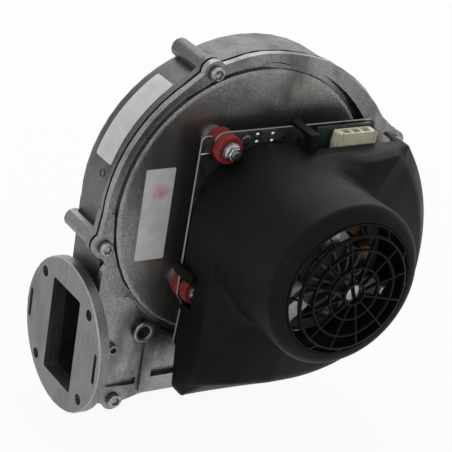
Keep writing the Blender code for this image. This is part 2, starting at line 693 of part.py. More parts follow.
def build_impeller_shroud(surface, parent):
    """Conical cover ring on the blades, with a lip round the eye."""
    tip, back = IMPELLER_DIAMETER / 2, IMPELLER_FRONT - IMPELLER_DISC - FIT_GAP
    face = [(EYE_RADIUS + SHROUD_THICKNESS, back - blade_depth(EYE_RADIUS + SHROUD_THICKNESS)),
            (tip, back - blade_depth(tip))]
    drop = SHROUD_THICKNESS
    profile = [(EYE_RADIUS, face[0][1] - EYE_LIP), (EYE_RADIUS + drop, face[0][1] - EYE_LIP),
               (EYE_RADIUS + 2 * drop, face[0][1] - drop), (tip, face[1][1] - drop), face[1], face[0],
               (EYE_RADIUS, face[0][1])]
    return finish(turned("impeller_shroud", profile, count=48), surface, parent)


def build_impeller_hub(surface, parent):
    """Turned hub that carries the back disc on the shaft."""
    bore, seat = SHAFT_RADIUS + SHAFT_GAP, IMPELLER_FRONT + FIT_GAP
    profile = [(bore, seat - HUB_DEPTH), (HUB_RADIUS, seat - HUB_DEPTH), (HUB_RADIUS, seat),
               (HUB_FLANGE, seat),
               (HUB_FLANGE, seat + 2.4), (bore, seat + 2.4)]
    return finish(turned("impeller_hub", profile, count=SMALL_ROUND), surface, parent)


def build_impeller_nut(surface, parent):
    """Hexagon nut that clamps the hub."""
    bore, high = SHAFT_RADIUS + SHAFT_GAP, IMPELLER_FRONT - HUB_DEPTH
    outer, inner = hexagon(7.0), circle(bore, TINY_ROUND)
    loops = [at_height(outer, high - NUT_HEIGHT), at_height(outer, high), at_height(inner, high),
             at_height(inner, high - NUT_HEIGHT)]
    return finish(loft("impeller_nut", loops, ring=True), surface, parent)


# Motor
def build_motor_shaft(surface, parent):
    steps = [(SHAFT_RADIUS - 0.6, SHAFT_BACK), (SHAFT_RADIUS, SHAFT_BACK + 0.6),
             (SHAFT_RADIUS, SHAFT_FRONT - 0.6),
             (SHAFT_RADIUS - 0.6, SHAFT_FRONT)]
    return finish(rod("motor_shaft", steps), surface, parent)


def bearing_rings(name, back, surface, fixed, moving):
    """Ball bearing as an outer ring with its shield, and an inner ring on the shaft."""
    front = back + BEARING_WIDTH
    shield = SHAFT_RADIUS + SHAFT_GAP + 2.2
    outer = turned(name + "_outer", [(shield + FIT_GAP, front - 1.2), (BEARING_OUTER - 2.2, front - 1.2),
                                     (BEARING_OUTER - 2.2, back), (BEARING_OUTER, back),
                                     (BEARING_OUTER, front),
                                     (shield + FIT_GAP, front)], count=SMALL_ROUND)
    inner = turned(name + "_inner", [(SHAFT_RADIUS + SHAFT_GAP, back), (shield, back), (shield, front),
                                     (SHAFT_RADIUS + SHAFT_GAP, front)], count=SMALL_ROUND)
    finish(outer, surface, fixed)
    finish(inner, surface, moving)


def build_motor_flange(surface, parent):
    """Bearing housing on the plate, with three legs that carry the stator."""
    base, seat = PLATE_FRONT + FIT_GAP, BEARING_OUTER + FIT_GAP
    disc_top, housing = base + 4.0, PLATE_BEARING_BACK + BEARING_WIDTH + 1.2
    ledge = PLATE_BEARING_BACK - FIT_GAP
    body = turned("motor_flange",
                  [(seat - 3.5, base), (FLANGE_DISC_RADIUS, base), (FLANGE_DISC_RADIUS, disc_top),
                                   (seat + HOUSING_WALL, disc_top), (seat + HOUSING_WALL, housing),
                   (seat, housing),
                                   (seat, ledge), (seat - 3.5, ledge)])
    legs, holes = [], []
    for angle in BOLT_ANGLES:
        place = (BOLT_CIRCLE * math.cos(math.radians(angle)), BOLT_CIRCLE * math.sin(math.radians(angle)))
        legs.append(radial_plate("leg",
                                 [(FLANGE_DISC_RADIUS - 6, base + 0.5), (STATOR_RADIUS, base + 0.5),
                                         (STATOR_RADIUS, STACK_BACK - FIT_GAP),
                                  (STATOR_SLOT + 0.8, STACK_BACK - FIT_GAP),
                                         (STATOR_SLOT + 0.8, disc_top - 0.5),
                                  (FLANGE_DISC_RADIUS - 6, disc_top - 0.5)],
                                 LEG_WIDTH, angle))
        holes.append(rod("bolt_hole",
                         [(BOLT_RADIUS + FIT_GAP, base + 2.0), (BOLT_RADIUS + FIT_GAP, STACK_BACK + 1)],
                         place, HOLE_ROUND))
    cut(join(body, *legs), *holes)
    return finish(body, surface, parent)


def build_front_bracket(surface, parent):
    """Bridge on three legs that holds the front bearing in front of the windings."""
    seat, back = BEARING_OUTER + FIT_GAP, FRONT_BEARING_BACK - 1.2
    front = FRONT_BEARING_BACK + BEARING_WIDTH + 0.6
    ledge = FRONT_BEARING_BACK - FIT_GAP
    body = turned("front_bracket",
                  [(seat - 3.5, back), (seat + HOUSING_WALL, back), (seat + HOUSING_WALL, front),
                                    (seat, front), (seat, ledge), (seat - 3.5, ledge)])
    legs, holes = [], []
    arm = STACK_FRONT + COIL_OVERHANG + 5.0
    for angle in BOLT_ANGLES:
        place = (BOLT_CIRCLE * math.cos(math.radians(angle)), BOLT_CIRCLE * math.sin(math.radians(angle)))
        legs.append(radial_plate("leg",
                                 [(seat + 1.0, arm), (STATOR_SLOT + 0.8, arm),
                                  (STATOR_SLOT + 0.8, STACK_FRONT + FIT_GAP),
                                         (STATOR_RADIUS, STACK_FRONT + FIT_GAP),
                                  (STATOR_RADIUS, front - 0.5),
                                         (seat + 1.0, front - 0.5)], LEG_WIDTH, angle))
        holes.append(rod("bolt_hole",
                         [(BOLT_RADIUS + FIT_GAP, STACK_FRONT - 1), (BOLT_RADIUS + FIT_GAP, front + 1)],
                         place, HOLE_ROUND))
    cut(join(body, *legs), *holes)
    return finish(body, surface, parent)


def build_motor_bolts(surface, parent):
    """Long bolts from the front bracket through the stator into the motor flange."""
    seat = FRONT_BEARING_BACK + BEARING_WIDTH + 0.6 + FIT_GAP
    for number, angle in enumerate(BOLT_ANGLES, 1):
        place = (BOLT_CIRCLE * math.cos(math.radians(angle)), BOLT_CIRCLE * math.sin(math.radians(angle)))
        bolt = rod(f"motor_bolt_{number}",
                   [(BOLT_RADIUS, PLATE_FRONT + 3.0), (BOLT_RADIUS, seat), (3.2, seat),
                                            (3.2, seat + 2.0), (2.4, seat + 2.6)], place, TINY_ROUND)
        finish(bolt, surface, parent)


def build_stator_stack(surface, parent):
    """Laminated ring with inward teeth."""
    angle = []
    for tooth in range(STATOR_TEETH):
        middle = 2 * math.pi * tooth / STATOR_TEETH
        at_bore = math.asin(TOOTH_WIDTH / 2 / STATOR_BORE)
        at_slot = math.asin(TOOTH_WIDTH / 2 / STATOR_SLOT)
        pitch = math.pi / STATOR_TEETH
        half = [(at_bore, STATOR_BORE), (at_slot, STATOR_SLOT), (pitch * 0.72, STATOR_SLOT)]
        angle += [(middle - a, r) for a, r in reversed(half)] + [(middle, STATOR_BORE)]
        angle += [(middle + a, r) for a, r in half]
    inner = np.array([(r * math.cos(a), r * math.sin(a)) for a, r in angle])
    stack = rod("stator_stack", [(STATOR_RADIUS, STACK_BACK), (STATOR_RADIUS, STACK_FRONT)], count=ROUND)
    holes = [prism("bore", inner, STACK_BACK - 1, STACK_FRONT + 1)]
    for bolt in BOLT_ANGLES:
        place = (BOLT_CIRCLE * math.cos(math.radians(bolt)), BOLT_CIRCLE * math.sin(math.radians(bolt)))
        holes.append(rod("bolt_hole",
                         [(BOLT_RADIUS + FIT_GAP, STACK_BACK - 1),
                          (BOLT_RADIUS + FIT_GAP, STACK_FRONT + 1)],
                         place, HOLE_ROUND))
    cut(stack, *holes)
    return finish(stack, surface, parent)


def build_stator_coils(surface, parent):
    """One wound coil round each tooth: a band with a barrelled outside on a rounded former."""
    reach = COIL_SIDE / 2
    half_width = TOOTH_WIDTH / 2 + 2 * FIT_GAP + reach
    half_length = STACK_LENGTH / 2 + COIL_OVERHANG - reach
    middle = (STACK_BACK + STACK_FRONT) / 2
    path = rounded([(-half_width, -half_length, 3.4), (half_width, -half_length, 3.4),
                    (half_width, half_length, 3.4), (-half_width, half_length, 3.4)], 3)
    outside = math.sqrt((0.985 * STATOR_SLOT) ** 2 - (half_width + reach) ** 2) - 2 * FIT_GAP
    inside = outside - COIL_DEPTH
    back, ahead = np.roll(path, 1, axis=0), np.roll(path, -1, axis=0)
    along = (ahead - back) / np.linalg.norm(ahead - back, axis=1)[:, None]
    normal = np.column_stack([along[:, 1], -along[:, 0]])
    section = [(inside, -reach), (inside, 0.5 * reach), (inside + 1.4, reach), (outside - 1.4, reach),
               (outside, 0.5 * reach), (outside, -reach)]
    for number in range(STATOR_TEETH):
        a = 2 * math.pi * number / STATOR_TEETH
        loops = []
        for point, out in zip(path, normal):
            loop = []
            for radius, step in section:
                t, w = point + out * step
                loop.append((radius * math.cos(a) - t * math.sin(a),
                             radius * math.sin(a) + t * math.cos(a), middle + w))
            loops.append(loop)
        finish(loft(f"stator_coil_{number + 1}", loops, ring=True), surface, parent)


def build_rotor_core(surface, parent):
    bore, radius = SHAFT_RADIUS + SHAFT_GAP, STATOR_BORE - AIR_GAP
    profile = [(bore, STACK_BACK - 2), (radius, STACK_BACK - 2), (radius, STACK_FRONT + 2),
               (bore, STACK_FRONT + 2)]
    return finish(turned("rotor_core", profile), surface, parent)


def build_cooling_fan(surface, parent):
    """Small fan on the shaft end: hub, disc and straight radial fins."""
    bore = SHAFT_RADIUS + SHAFT_GAP
    back = FRONT_BEARING_BACK + BEARING_WIDTH + 2.4
    fan = turned("cooling_fan",
                 [(bore, back), (FAN_RADIUS, back), (FAN_RADIUS, back + 1.4), (bore + 3.2, back + 1.4),
                                 (bore + 2.6, back + FAN_FIN_HEIGHT + 1.0),
                  (bore, back + FAN_FIN_HEIGHT + 1.0)])
    fin = [(bore + 1.4, back + 0.6), (FAN_RADIUS - 0.4, back + 0.6),
           (FAN_RADIUS - 0.4, back + 0.6 * FAN_FIN_HEIGHT),
           (0.6 * FAN_RADIUS, back + FAN_FIN_HEIGHT), (bore + 1.4, back + FAN_FIN_HEIGHT)]
    fins = [radial_plate("fin", fin, 1.3, 360.0 * k / FAN_FINS) for k in range(FAN_FINS)]
    join(fan, *fins)
    return finish(fan, surface, parent)


def build_shaft_seal(surface, parent):
    """Rubber sealing disc where the shaft enters the casing."""
    lip, bore = SHAFT_RADIUS + FIT_GAP, SHAFT_HOLE_RADIUS - FIT_GAP
    seat = PLATFORM_TOP + FIT_GAP
    profile = [(lip, seat - 3.2), (bore, seat - 3.2), (bore, seat), (bore + 4.0, seat),
               (bore + 4.0, seat + 1.4),
               (lip, seat + 1.4)]
    return finish(turned("shaft_seal", profile, count=SMALL_ROUND), surface, parent)


# Motor plate and rubber mounts
def build_motor_plate(surface, parent):
    """Sheet steel plate, rounded closely round the upper mount, with a tab beside it and a left notch."""
    ear_u, ear_v = GROMMETS[0]
    ear = ear_u - PLATE_EAR
    notch_top = GROMMETS[1][1] - 4.0
    top_left = PLATE_LEFT + PLATE_LEAN
    outline = rounded([(PLATE_LEFT + 0.6 * PLATE_WAIST, PLATE_BOTTOM, 3), (PLATE_RIGHT, PLATE_BOTTOM, 6),
                       (PLATE_RIGHT, PLATE_TOP, 3.5), (ear, PLATE_TOP, PLATE_EAR),
                       (ear - 0.3, ear_v, 0.2),
                       (ear - 0.9, TAB_TOP, 2.4), (top_left, TAB_TOP, 3.0), (PLATE_LEFT, notch_top, 2),
                       (PLATE_LEFT + PLATE_WAIST, notch_top - 6.0, 3)])
    plate = prism("motor_plate", outline, PLATE_BACK, PLATE_FRONT)
    tools = [rod("motor_hole", [(BEARING_OUTER, PLATE_BACK - 1), (BEARING_OUTER, PLATE_FRONT + 1)],
                 count=ROUND)]
    for place in GROMMETS:
        tools.append(rod("mount_hole",
                         [(GROMMET_NECK + FIT_GAP, PLATE_BACK - 1),
                          (GROMMET_NECK + FIT_GAP, PLATE_FRONT + 1)],
                         place))
    cut(plate, *tools)
    return finish(plate, surface, parent)


def build_mounts(rubber, steel, parent):
    """Each mount: double-flanged grommet in the plate, spacer sleeve, washer and screw."""
    for number, place in enumerate(GROMMETS, 1):
        bore, groove = SLEEVE_OUTER + FIT_GAP, FIT_GAP
        outer, rear = GROMMET_RADIUS, GROMMET_BACK_RADIUS
        profile = [(bore, GROMMET_BACK), (rear - 1.2, GROMMET_BACK), (rear, GROMMET_BACK + 1.2),
                   (rear, PLATE_BACK - groove), (GROMMET_NECK, PLATE_BACK - groove),
                   (GROMMET_NECK, PLATE_FRONT + groove),
                   (outer, PLATE_FRONT + groove), (outer, GROMMET_FRONT - 1.2),
                   (outer - 1.2, GROMMET_FRONT),
                   (bore, GROMMET_FRONT)]
        finish(turned(f"grommet_{number}", profile, place, SMALL_ROUND), rubber, parent)
        sleeve = [(SLEEVE_INNER, GROMMET_BACK), (SLEEVE_OUTER, GROMMET_BACK),
                  (SLEEVE_OUTER, GROMMET_FRONT),
                  (SLEEVE_INNER, GROMMET_FRONT)]
        finish(turned(f"grommet_sleeve_{number}", sleeve, place, TINY_ROUND), steel, parent)
        low = GROMMET_FRONT + FIT_GAP
        high = low + WASHER_THICKNESS
        washer = [(SLEEVE_INNER, low), (WASHER_RADIUS, low), (WASHER_RADIUS, high), (SLEEVE_INNER, high)]
        finish(turned(f"grommet_washer_{number}", washer, place, SMALL_ROUND), steel, parent)
        seat = high + FIT_GAP
        flat, top = seat + 1.2, seat + MOUNT_NUT_HEIGHT
        loops = [at_height(circle(SCREW_SHANK, TINY_ROUND, place), w) for w in (PLATFORM_TOP, seat)]
        loops += [at_height(circle(WASHER_RADIUS - 0.3, TINY_ROUND, place), w)
                  for w in (seat, seat + 0.5)]
        loops += [at_height(hexagon(SCREW_HEAD, place), w) for w in (flat, top - 0.5)]
        loops += [at_height(hexagon(SCREW_HEAD - 0.6, place), top),
                  at_height(circle(SCREW_SHANK, TINY_ROUND, place), top)]
        loops += [at_height(circle(SCREW_SHANK, TINY_ROUND, place), top + 1.4)]
        finish(loft(f"grommet_screw_{number}", loops), steel, parent)


# Hood and grille
def hood_radius(angle):
    """Reach of the hood's base from the shaft, found by halving.

    The upper left quarter is the round can. Left, top and bottom are flat, the right side is a half oval.
    """
    c, s = math.cos(angle), math.sin(angle)
    height = (HOOD_CAN + HOOD_BOTTOM) / 2
    middle = (HOOD_CAN - HOOD_BOTTOM) / 2

    def inside(reach):
        u, v = reach * c, reach * s
        if u <= 0 <= v:
            return reach <= HOOD_CAN
        start, power = (HOOD_ROUND_FROM, HOOD_FULLNESS) if v > middle else (HOOD_LOWER_ROUND_FROM, 2.0)
        if u > start:
            across, along = (u - start) / (HOOD_RIGHT - start), abs(v - middle) / height
            return across ** power + along ** power <= 1
        return u >= -HOOD_CAN and -HOOD_BOTTOM <= v <= HOOD_CAN

    low, high = 0.0, 2.0 * (HOOD_RIGHT + HOOD_BOTTOM)
    for step in range(40):
        half = (low + high) / 2
        low, high = (half, high) if inside(half) else (low, half)
    return low


def can_radius(w):
    """The can flares slightly from its foot to the rim."""
    return HOOD_CAN + (HOOD_RIM_RADIUS - HOOD_CAN) * (w - HOOD_BACK) / (HOOD_RIM - HOOD_BACK)


def hood_section(angle):
    """Closed (radius, w) section of the hood at one angle, outside upwards and then back down the inside.

    Side wall, rounded edge, front face, hollow fillet into the can, the can, and the band round its opening.
    """
    base, wall = hood_radius(angle), HOOD_WALL
    table = np.array(HOOD_STATIONS, float)
    side, crest, inset, waist = (float(np.interp(math.degrees(angle) % 360, table[:, 0], table[:, k]))
                                 for k in range(1, 5))
    edge = max(base - inset, can_radius(crest))
    foot = max(min(can_radius(waist) + HOOD_FILLET, edge), can_radius(waist))
    hollow = min(can_radius(waist + 3.0) + 0.3 * HOOD_FILLET, max(foot, can_radius(waist + 3.0)))
    neck = waist + 1.3 * HOOD_FILLET
    band = HOOD_RIM_RADIUS - OPENING_RADIUS
    outside = [(base, HOOD_BACK), (max(base, can_radius(side)), side), (edge, crest), (foot, waist),
               (hollow, waist + 3.0),
               (can_radius(neck), neck), (HOOD_RIM_RADIUS, HOOD_RIM),
               (HOOD_RIM_RADIUS - 0.25 * band, HOOD_RIM + 0.6 * OPENING_RISE),
               (HOOD_RIM_RADIUS - 0.6 * band, HOOD_RIM + 0.92 * OPENING_RISE),
               (OPENING_RADIUS, OPENING_FRONT)]
    inside = [(OPENING_RADIUS, OPENING_FRONT - wall), (HOOD_RIM_RADIUS - wall - 1.4, HOOD_RIM - 0.5),
              (can_radius(neck) - wall, neck - 0.3 * wall), (foot - wall, waist - wall),
              (edge - wall, crest - wall),
              (base - wall, side - 1.0 - wall), (base - wall, HOOD_BACK)]
    return outside + inside


def build_motor_cover(surface, parent):
    """Hood: a round can that grows into a lower body, open towards board and mount, with two hooks."""
    corner = math.atan2(-HOOD_BOTTOM, -HOOD_CAN) + 2 * math.pi
    angles = np.radians(np.arange(60) * 6.0)
    angles = np.sort(np.append(angles[np.abs(angles - corner) > 0.03], corner))
    loops = []
    for angle in angles:
        loops.append([(r * math.cos(angle), r * math.sin(angle), w) for r, w in hood_section(angle)])
    hood = loft("motor_cover", loops, ring=True)

    lip, back = PLATE_BACK - 0.6, PLATE_BACK - 2.6
    left, right = TOP_HOOK - TOP_HOOK_WIDTH / 2, TOP_HOOK + TOP_HOOK_WIDTH / 2
    low, high = SIDE_HOOK - SIDE_HOOK_WIDTH / 2, SIDE_HOOK + SIDE_HOOK_WIDTH / 2
    crest, edge, thick = PLATE_TOP + FIT_GAP, PLATE_LEFT - FIT_GAP, HOOK_THICKNESS
    side_u, side_v = GROMMETS[1]
    room, mount_top = GROMMET_RADIUS + 2.0, GROMMET_FRONT + 2 * FIT_GAP
    foot, under = side_v - room - 1.0, HOOD_BACK - 2.0
    slant = [(foot, under), (foot, HOOD_BACK + 3.5), (-0.73 * HOOD_BOTTOM, HOOD_BACK + 3.5),
             (-HOOD_BOTTOM - 2.0, HOOD_BACK + 6.7), (-HOOD_BOTTOM - 2.0, under)]
    cut(hood,
        rod("mount_room", [(GROMMET_RADIUS + FIT_GAP, HOOD_BACK - 2), (GROMMET_RADIUS + FIT_GAP, mount_top)],
            GROMMETS[0]),
        box("top_gap", (left - 1.0, BOARD_RIGHT + 4), (HOOD_CAN - 9, HOOD_CAN + 9),
            (HOOD_BACK - 2, HOOD_TOP_EDGE)),
        loft("slant", [[(u, v, w) for v, w in slant] for u in (-HOOD_CAN - 3, -HOOD_CAN + 12)]),
        box("side_notch", (-HOOD_CAN - 3, side_u + room), (side_v - room, side_v + room),
            (HOOD_BACK - 2, HOOD_TOP_EDGE)))
    strap = [(crest - 3.4, back), (crest + thick, back), (crest + thick, PLATE_FRONT + 0.5),
             (HOOD_CAN + 0.5, HOOD_TOP_EDGE + 2.4), (HOOD_CAN - 1.4, HOOD_TOP_EDGE + 2.4),
             (HOOD_CAN - 1.4, HOOD_TOP_EDGE - 1.0), (crest, PLATE_FRONT + 1.4), (crest, lip),
             (crest - 3.4, lip)]
    join(hood, loft("strap", [[(u, v, w) for v, w in strap] for u in (left, right)]),
         box("side_arm", (edge - thick, edge), (low, high), (back, HOOD_BACK + 14)),
         box("side_bridge", (edge - 1, edge + 1.6), (low, high), (HOOD_BACK + 0.4, HOOD_BACK + 13)),
         box("side_lip", (edge - 1, edge + 3.4), (low, high), (back, lip)))
    return finish(hood, surface, parent)


def grille_height(radius):
    """Front of the grille: a shallow crown inside the outer ring, then a step down to the opening's edge."""
    outer = GRILLE_RINGS[-1]
    edge = OPENING_RADIUS - FIT_GAP
    crown = OPENING_FRONT + GRILLE_STEP + GRILLE_CROWN * (1 - min(radius, outer) / outer)
    return crown - GRILLE_STEP * max(0.0, radius - outer) / (edge - outer)


def build_cover_grille(surface, parent):
    """Spider-web grille as one polar grid: whole rings, and even spokes with staggered short ones outside."""
    edge = OPENING_RADIUS - FIT_GAP
    radii = []
    for ring in GRILLE_RINGS:
        radii += [ring - GRILLE_BAR / 2, ring + GRILLE_BAR / 2]
    radii += [edge - GRILLE_BAR, edge]
    columns = 4 * GRILLE_SPOKES
    pitch = math.pi / GRILLE_SPOKES

    def corner(i, j):
        half = math.asin(0.9 * GRILLE_BAR / 2 / radii[i])
        spoke, side = divmod(j % columns, 2)
        return spoke * pitch + (half if side else -half)

    def filled(i, j):
        if not 0 <= i < len(radii) - 1:
            return False
        spoke, side = divmod(j % columns, 2)
        between = spoke % 2 == (0 if i == len(radii) - 3 else 1)
        return i % 2 == 0 or (side == 0 and between)

    points, faces = [], []
    for deep in (0.0, GRILLE_DEPTH):
        for i, radius in enumerate(radii):
            for j in range(columns):
                a = corner(i, j)
                points.append((radius * math.cos(a), radius * math.sin(a), grille_height(radius) - deep))

    def index(i, j, low):
        return (low * len(radii) + i) * columns + j % columns

    for i in range(len(radii) - 1):
        for j in range(columns):
            if not filled(i, j):
                continue
            cell = [(i, j), (i + 1, j), (i + 1, j + 1), (i, j + 1)]
            faces.append([index(*c, 0) for c in cell])
            faces.append([index(*c, 1) for c in reversed(cell)])
            for k, beside in enumerate([(i, j - 1), (i + 1, j), (i, j + 1), (i - 1, j)]):
                if not filled(*beside):
                    a, b = cell[k], cell[(k + 1) % 4]
                    faces.append([index(*b, 0), index(*a, 0), index(*a, 1), index(*b, 1)])
    used = sorted({p for face in faces for p in face})
    place = {p: k for k, p in enumerate(used)}
    grille = solid("cover_grille", [points[p] for p in used],
                   [[place[p] for p in face] for face in faces])
    return finish(grille, surface, parent)


# Control board
def build_control_board(surface, parent):
    """Board cut round the motor, with a chamfered upper corner."""
    outline = [(BOARD_LEFT, BOARD_BOTTOM), (BOARD_RIGHT, BOARD_BOTTOM), (BOARD_RIGHT, BOARD_TOP - 5),
               (BOARD_RIGHT - 5, BOARD_TOP), (BOARD_LEFT, BOARD_TOP)]
    board = prism("control_board", outline, BOARD_BACK, BOARD_FRONT)
    round_motor = STATOR_RADIUS + 2.5
    cut(board,
        rod("motor_room", [(round_motor, BOARD_BACK - 1), (round_motor, BOARD_FRONT + 1)], count=ROUND))
    return finish(board, surface, parent)


def build_power_connector(surface, parent):
    """Housing with sockets that open upwards, a keyed front and a foot on the board."""
    left, right = CONNECTOR_LEFT, CONNECTOR_LEFT + CONNECTOR_WIDTH
    low, back = CONNECTOR_TOP - CONNECTOR_HEIGHT, BOARD_FRONT + FIT_GAP
    front = back + CONNECTOR_DEPTH
    outline = rounded([(left, low, 0.8), (right, low, 0.8), (right, CONNECTOR_TOP, 0.8),
                       (left, CONNECTOR_TOP, 0.8)], 2)
    body = prism("power_connector", outline, back, front)
    width, depth, height = CONNECTOR_POCKET
    middle = (left + right) / 2
    tools = []
    for k in range(CONNECTOR_POLES):
        u = middle + (k - (CONNECTOR_POLES - 1) / 2) * CONNECTOR_PITCH
        tools.append(box("socket", (u - width / 2, u + width / 2),
                         (CONNECTOR_TOP - height, CONNECTOR_TOP + 1),
                         (front - 1.4 - depth, front - 1.4)))
    for u in (left + 1.7, right - 1.7):
        tools.append(box("key", (u - 0.8, u + 0.8), (CONNECTOR_TOP - 5, CONNECTOR_TOP + 1),
                         (front - 1.2, front + 1)))
    cut(body, *tools)
    return finish(body, surface, parent)


def build_board_parts(plastic, can, parent):
    for number, place in enumerate(STANDOFFS, 1):
        post = rod(f"board_standoff_{number}",
                   [(STANDOFF_RADIUS, PLATE_FRONT + FIT_GAP), (STANDOFF_RADIUS, BOARD_BACK - FIT_GAP)],
                   place, TINY_ROUND)
        finish(post, plastic, parent)
    u, v, radius, height = CAPACITOR
    base = BOARD_FRONT + FIT_GAP
    top = base + height
    steps = [(radius - 0.5, base), (radius, base + 0.6), (radius, base + 2.0), (radius - 0.7, base + 2.6),
             (radius, base + 3.2), (radius, top - 0.8), (radius - 0.8, top)]
    finish(rod("storage_capacitor", steps, (u, v)), can, parent)


# Assembly
for old in list(bpy.data.objects):
    bpy.data.objects.remove(old)

frame = bpy.data.objects.new("blower_frame", None)
frame.rotation_euler = (math.pi / 2, 0, 0)
frame.location = (FLANGE_REACH * MM, OUTLET_CENTRE_W * MM, (OUTLET_DROP + FLANGE_LAND) * MM)
bpy.context.scene.collection.objects.link(frame)
rotor = bpy.data.objects.new("rotor_axis", None)
rotor.parent = frame
bpy.context.scene.collection.objects.link(rotor)

cast_aluminium = material("cast_aluminium", (0.42, 0.40, 0.37), 0.45, 0.85)
seal_rubber = material("seal_rubber", (0.03, 0.03, 0.03), 0.8)
zinc_steel = material("zinc_steel", (0.62, 0.61, 0.58), 0.35, 1.0)
plate_steel = material("plate_steel", (0.50, 0.52, 0.55), 0.35, 1.0)
bright_steel = material("bright_steel", (0.66, 0.66, 0.66), 0.22, 1.0)
bearing_steel = material("bearing_steel", (0.58, 0.58, 0.59), 0.25, 1.0)
lamination_steel = material("lamination_steel", (0.45, 0.44, 0.42), 0.4, 1.0)
rotor_steel = material("rotor_steel", (0.30, 0.30, 0.31), 0.45, 0.9)
bracket_aluminium = material("bracket_aluminium", (0.60, 0.60, 0.60), 0.4, 0.9)
wheel_aluminium = material("wheel_aluminium", (0.68, 0.68, 0.69), 0.3, 0.95)
hub_brass = material("hub_brass", (0.62, 0.48, 0.22), 0.3, 1.0)
winding_copper = material("winding_copper", (0.30, 0.13, 0.05), 0.4, 0.6)
mount_rubber = material("mount_rubber", (0.26, 0.03, 0.02), 0.6)
black_plastic = material("black_plastic", (0.018, 0.018, 0.02), 0.4)
fan_plastic = material("fan_plastic", (0.05, 0.045, 0.04), 0.45)
board_laminate = material("board_laminate", (0.03, 0.10, 0.05), 0.4)
ivory_plastic = material("ivory_plastic", (0.80, 0.77, 0.66), 0.45)
nylon = material("nylon", (0.75, 0.75, 0.70), 0.5)
can_sleeve = material("can_sleeve", (0.05, 0.06, 0.12), 0.4)

build_rear_casing(cast_aluminium, frame)
build_front_casing(cast_aluminium, frame)
build_casing_seal(seal_rubber, frame)
for count, spot in enumerate(screw_places(), 1):
    screw(f"casing_screw_{count}", spot, RIM_TOP + FIT_GAP, SCREW_LENGTH, zinc_steel, frame)

build_impeller(wheel_aluminium, rotor)
build_impeller_shroud(wheel_aluminium, rotor)
build_impeller_hub(hub_brass, rotor)
build_impeller_nut(zinc_steel, rotor)
build_motor_shaft(bright_steel, rotor)
build_rotor_core(rotor_steel, rotor)
build_cooling_fan(fan_plastic, rotor)

build_shaft_seal(seal_rubber, frame)
build_motor_plate(plate_steel, frame)
build_mounts(mount_rubber, zinc_steel, frame)
build_motor_flange(bracket_aluminium, frame)
bearing_rings("plate_bearing", PLATE_BEARING_BACK, bearing_steel, frame, rotor)
build_stator_stack(lamination_steel, frame)
build_stator_coils(winding_copper, frame)
build_front_bracket(bracket_aluminium, frame)
bearing_rings("front_bearing", FRONT_BEARING_BACK, bearing_steel, frame, rotor)
build_motor_bolts(zinc_steel, frame)

build_motor_cover(black_plastic, frame)
build_cover_grille(black_plastic, frame)
build_control_board(board_laminate, frame)
build_power_connector(ivory_plastic, frame)
build_board_parts(nylon, can_sleeve, frame)
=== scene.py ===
"""Looks of the premix gas blower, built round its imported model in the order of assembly.

Places are in millimetres from the shaft: u to the right, v up and w from the casing seam to the hood.
"""
import json
import math

import bmesh
import bpy
import numpy as np
from mathutils import Matrix, Vector


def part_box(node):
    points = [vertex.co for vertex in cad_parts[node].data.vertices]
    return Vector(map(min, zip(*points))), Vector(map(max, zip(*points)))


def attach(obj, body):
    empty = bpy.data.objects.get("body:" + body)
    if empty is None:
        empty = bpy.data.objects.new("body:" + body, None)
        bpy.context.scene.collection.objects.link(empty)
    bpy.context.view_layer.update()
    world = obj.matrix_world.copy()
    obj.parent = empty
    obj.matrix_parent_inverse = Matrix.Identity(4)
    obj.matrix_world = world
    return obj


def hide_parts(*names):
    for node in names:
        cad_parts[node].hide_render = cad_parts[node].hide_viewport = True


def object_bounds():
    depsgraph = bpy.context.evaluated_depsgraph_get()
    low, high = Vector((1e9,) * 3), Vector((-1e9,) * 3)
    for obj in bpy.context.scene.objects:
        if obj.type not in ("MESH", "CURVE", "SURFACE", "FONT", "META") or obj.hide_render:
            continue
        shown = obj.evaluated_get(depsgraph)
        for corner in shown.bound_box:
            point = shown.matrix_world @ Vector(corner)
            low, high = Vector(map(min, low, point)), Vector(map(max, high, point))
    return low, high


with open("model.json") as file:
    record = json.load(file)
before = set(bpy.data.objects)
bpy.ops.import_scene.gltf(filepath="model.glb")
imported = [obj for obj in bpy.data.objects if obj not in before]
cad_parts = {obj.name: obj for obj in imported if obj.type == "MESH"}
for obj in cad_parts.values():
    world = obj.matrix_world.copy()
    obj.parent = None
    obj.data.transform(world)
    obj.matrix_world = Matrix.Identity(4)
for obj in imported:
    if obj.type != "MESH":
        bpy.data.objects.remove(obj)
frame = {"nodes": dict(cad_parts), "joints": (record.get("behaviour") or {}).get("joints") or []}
cad_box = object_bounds()
shaft = np.array(frame["joints"][0]["pos_m"])


# Rear casing: the deep spiral pan with outlet duct and flange, die-cast aluminium left as cast.
# Cloudy grey with a fine grain and stains from the die spray, and a ground outlet face.
# A small raised ring on the wall is a mould mark, and a dark bar in the corner of the rim is a painted shadow
# line.
def node_tools(tree):
    """A node maker, which takes a node's settings and its inputs' values, and a link maker for a tree."""
    def add(kind, **settings):
        """A new node. A setting named like one of its inputs is that input's value."""
        node = tree.nodes.new(kind)
        for key, value in settings.items():
            if key in node.inputs:
                node.inputs[key].default_value = value
            else:
                setattr(node, key, value)
        return node

    return add, tree.links.new


def new_finish(name):
    """An empty node material: returns it with its shader, a node maker and a link maker."""
    made = bpy.data.materials.new(name)
    made.use_nodes = True
    return made, made.node_tree.nodes["Principled BSDF"], *node_tools(made.node_tree)


def scaled(add, link, value, low, high, start=0.0, end=1.0):
    """A value between start and end, moved to lie between low and high."""
    band = add("ShaderNodeMapRange")
    for socket, number in (("From Min", start), ("From Max", end), ("To Min", low), ("To Max", high)):
        band.inputs[socket].default_value = number
    link(value, band.inputs["Value"])
    return band.outputs["Result"]


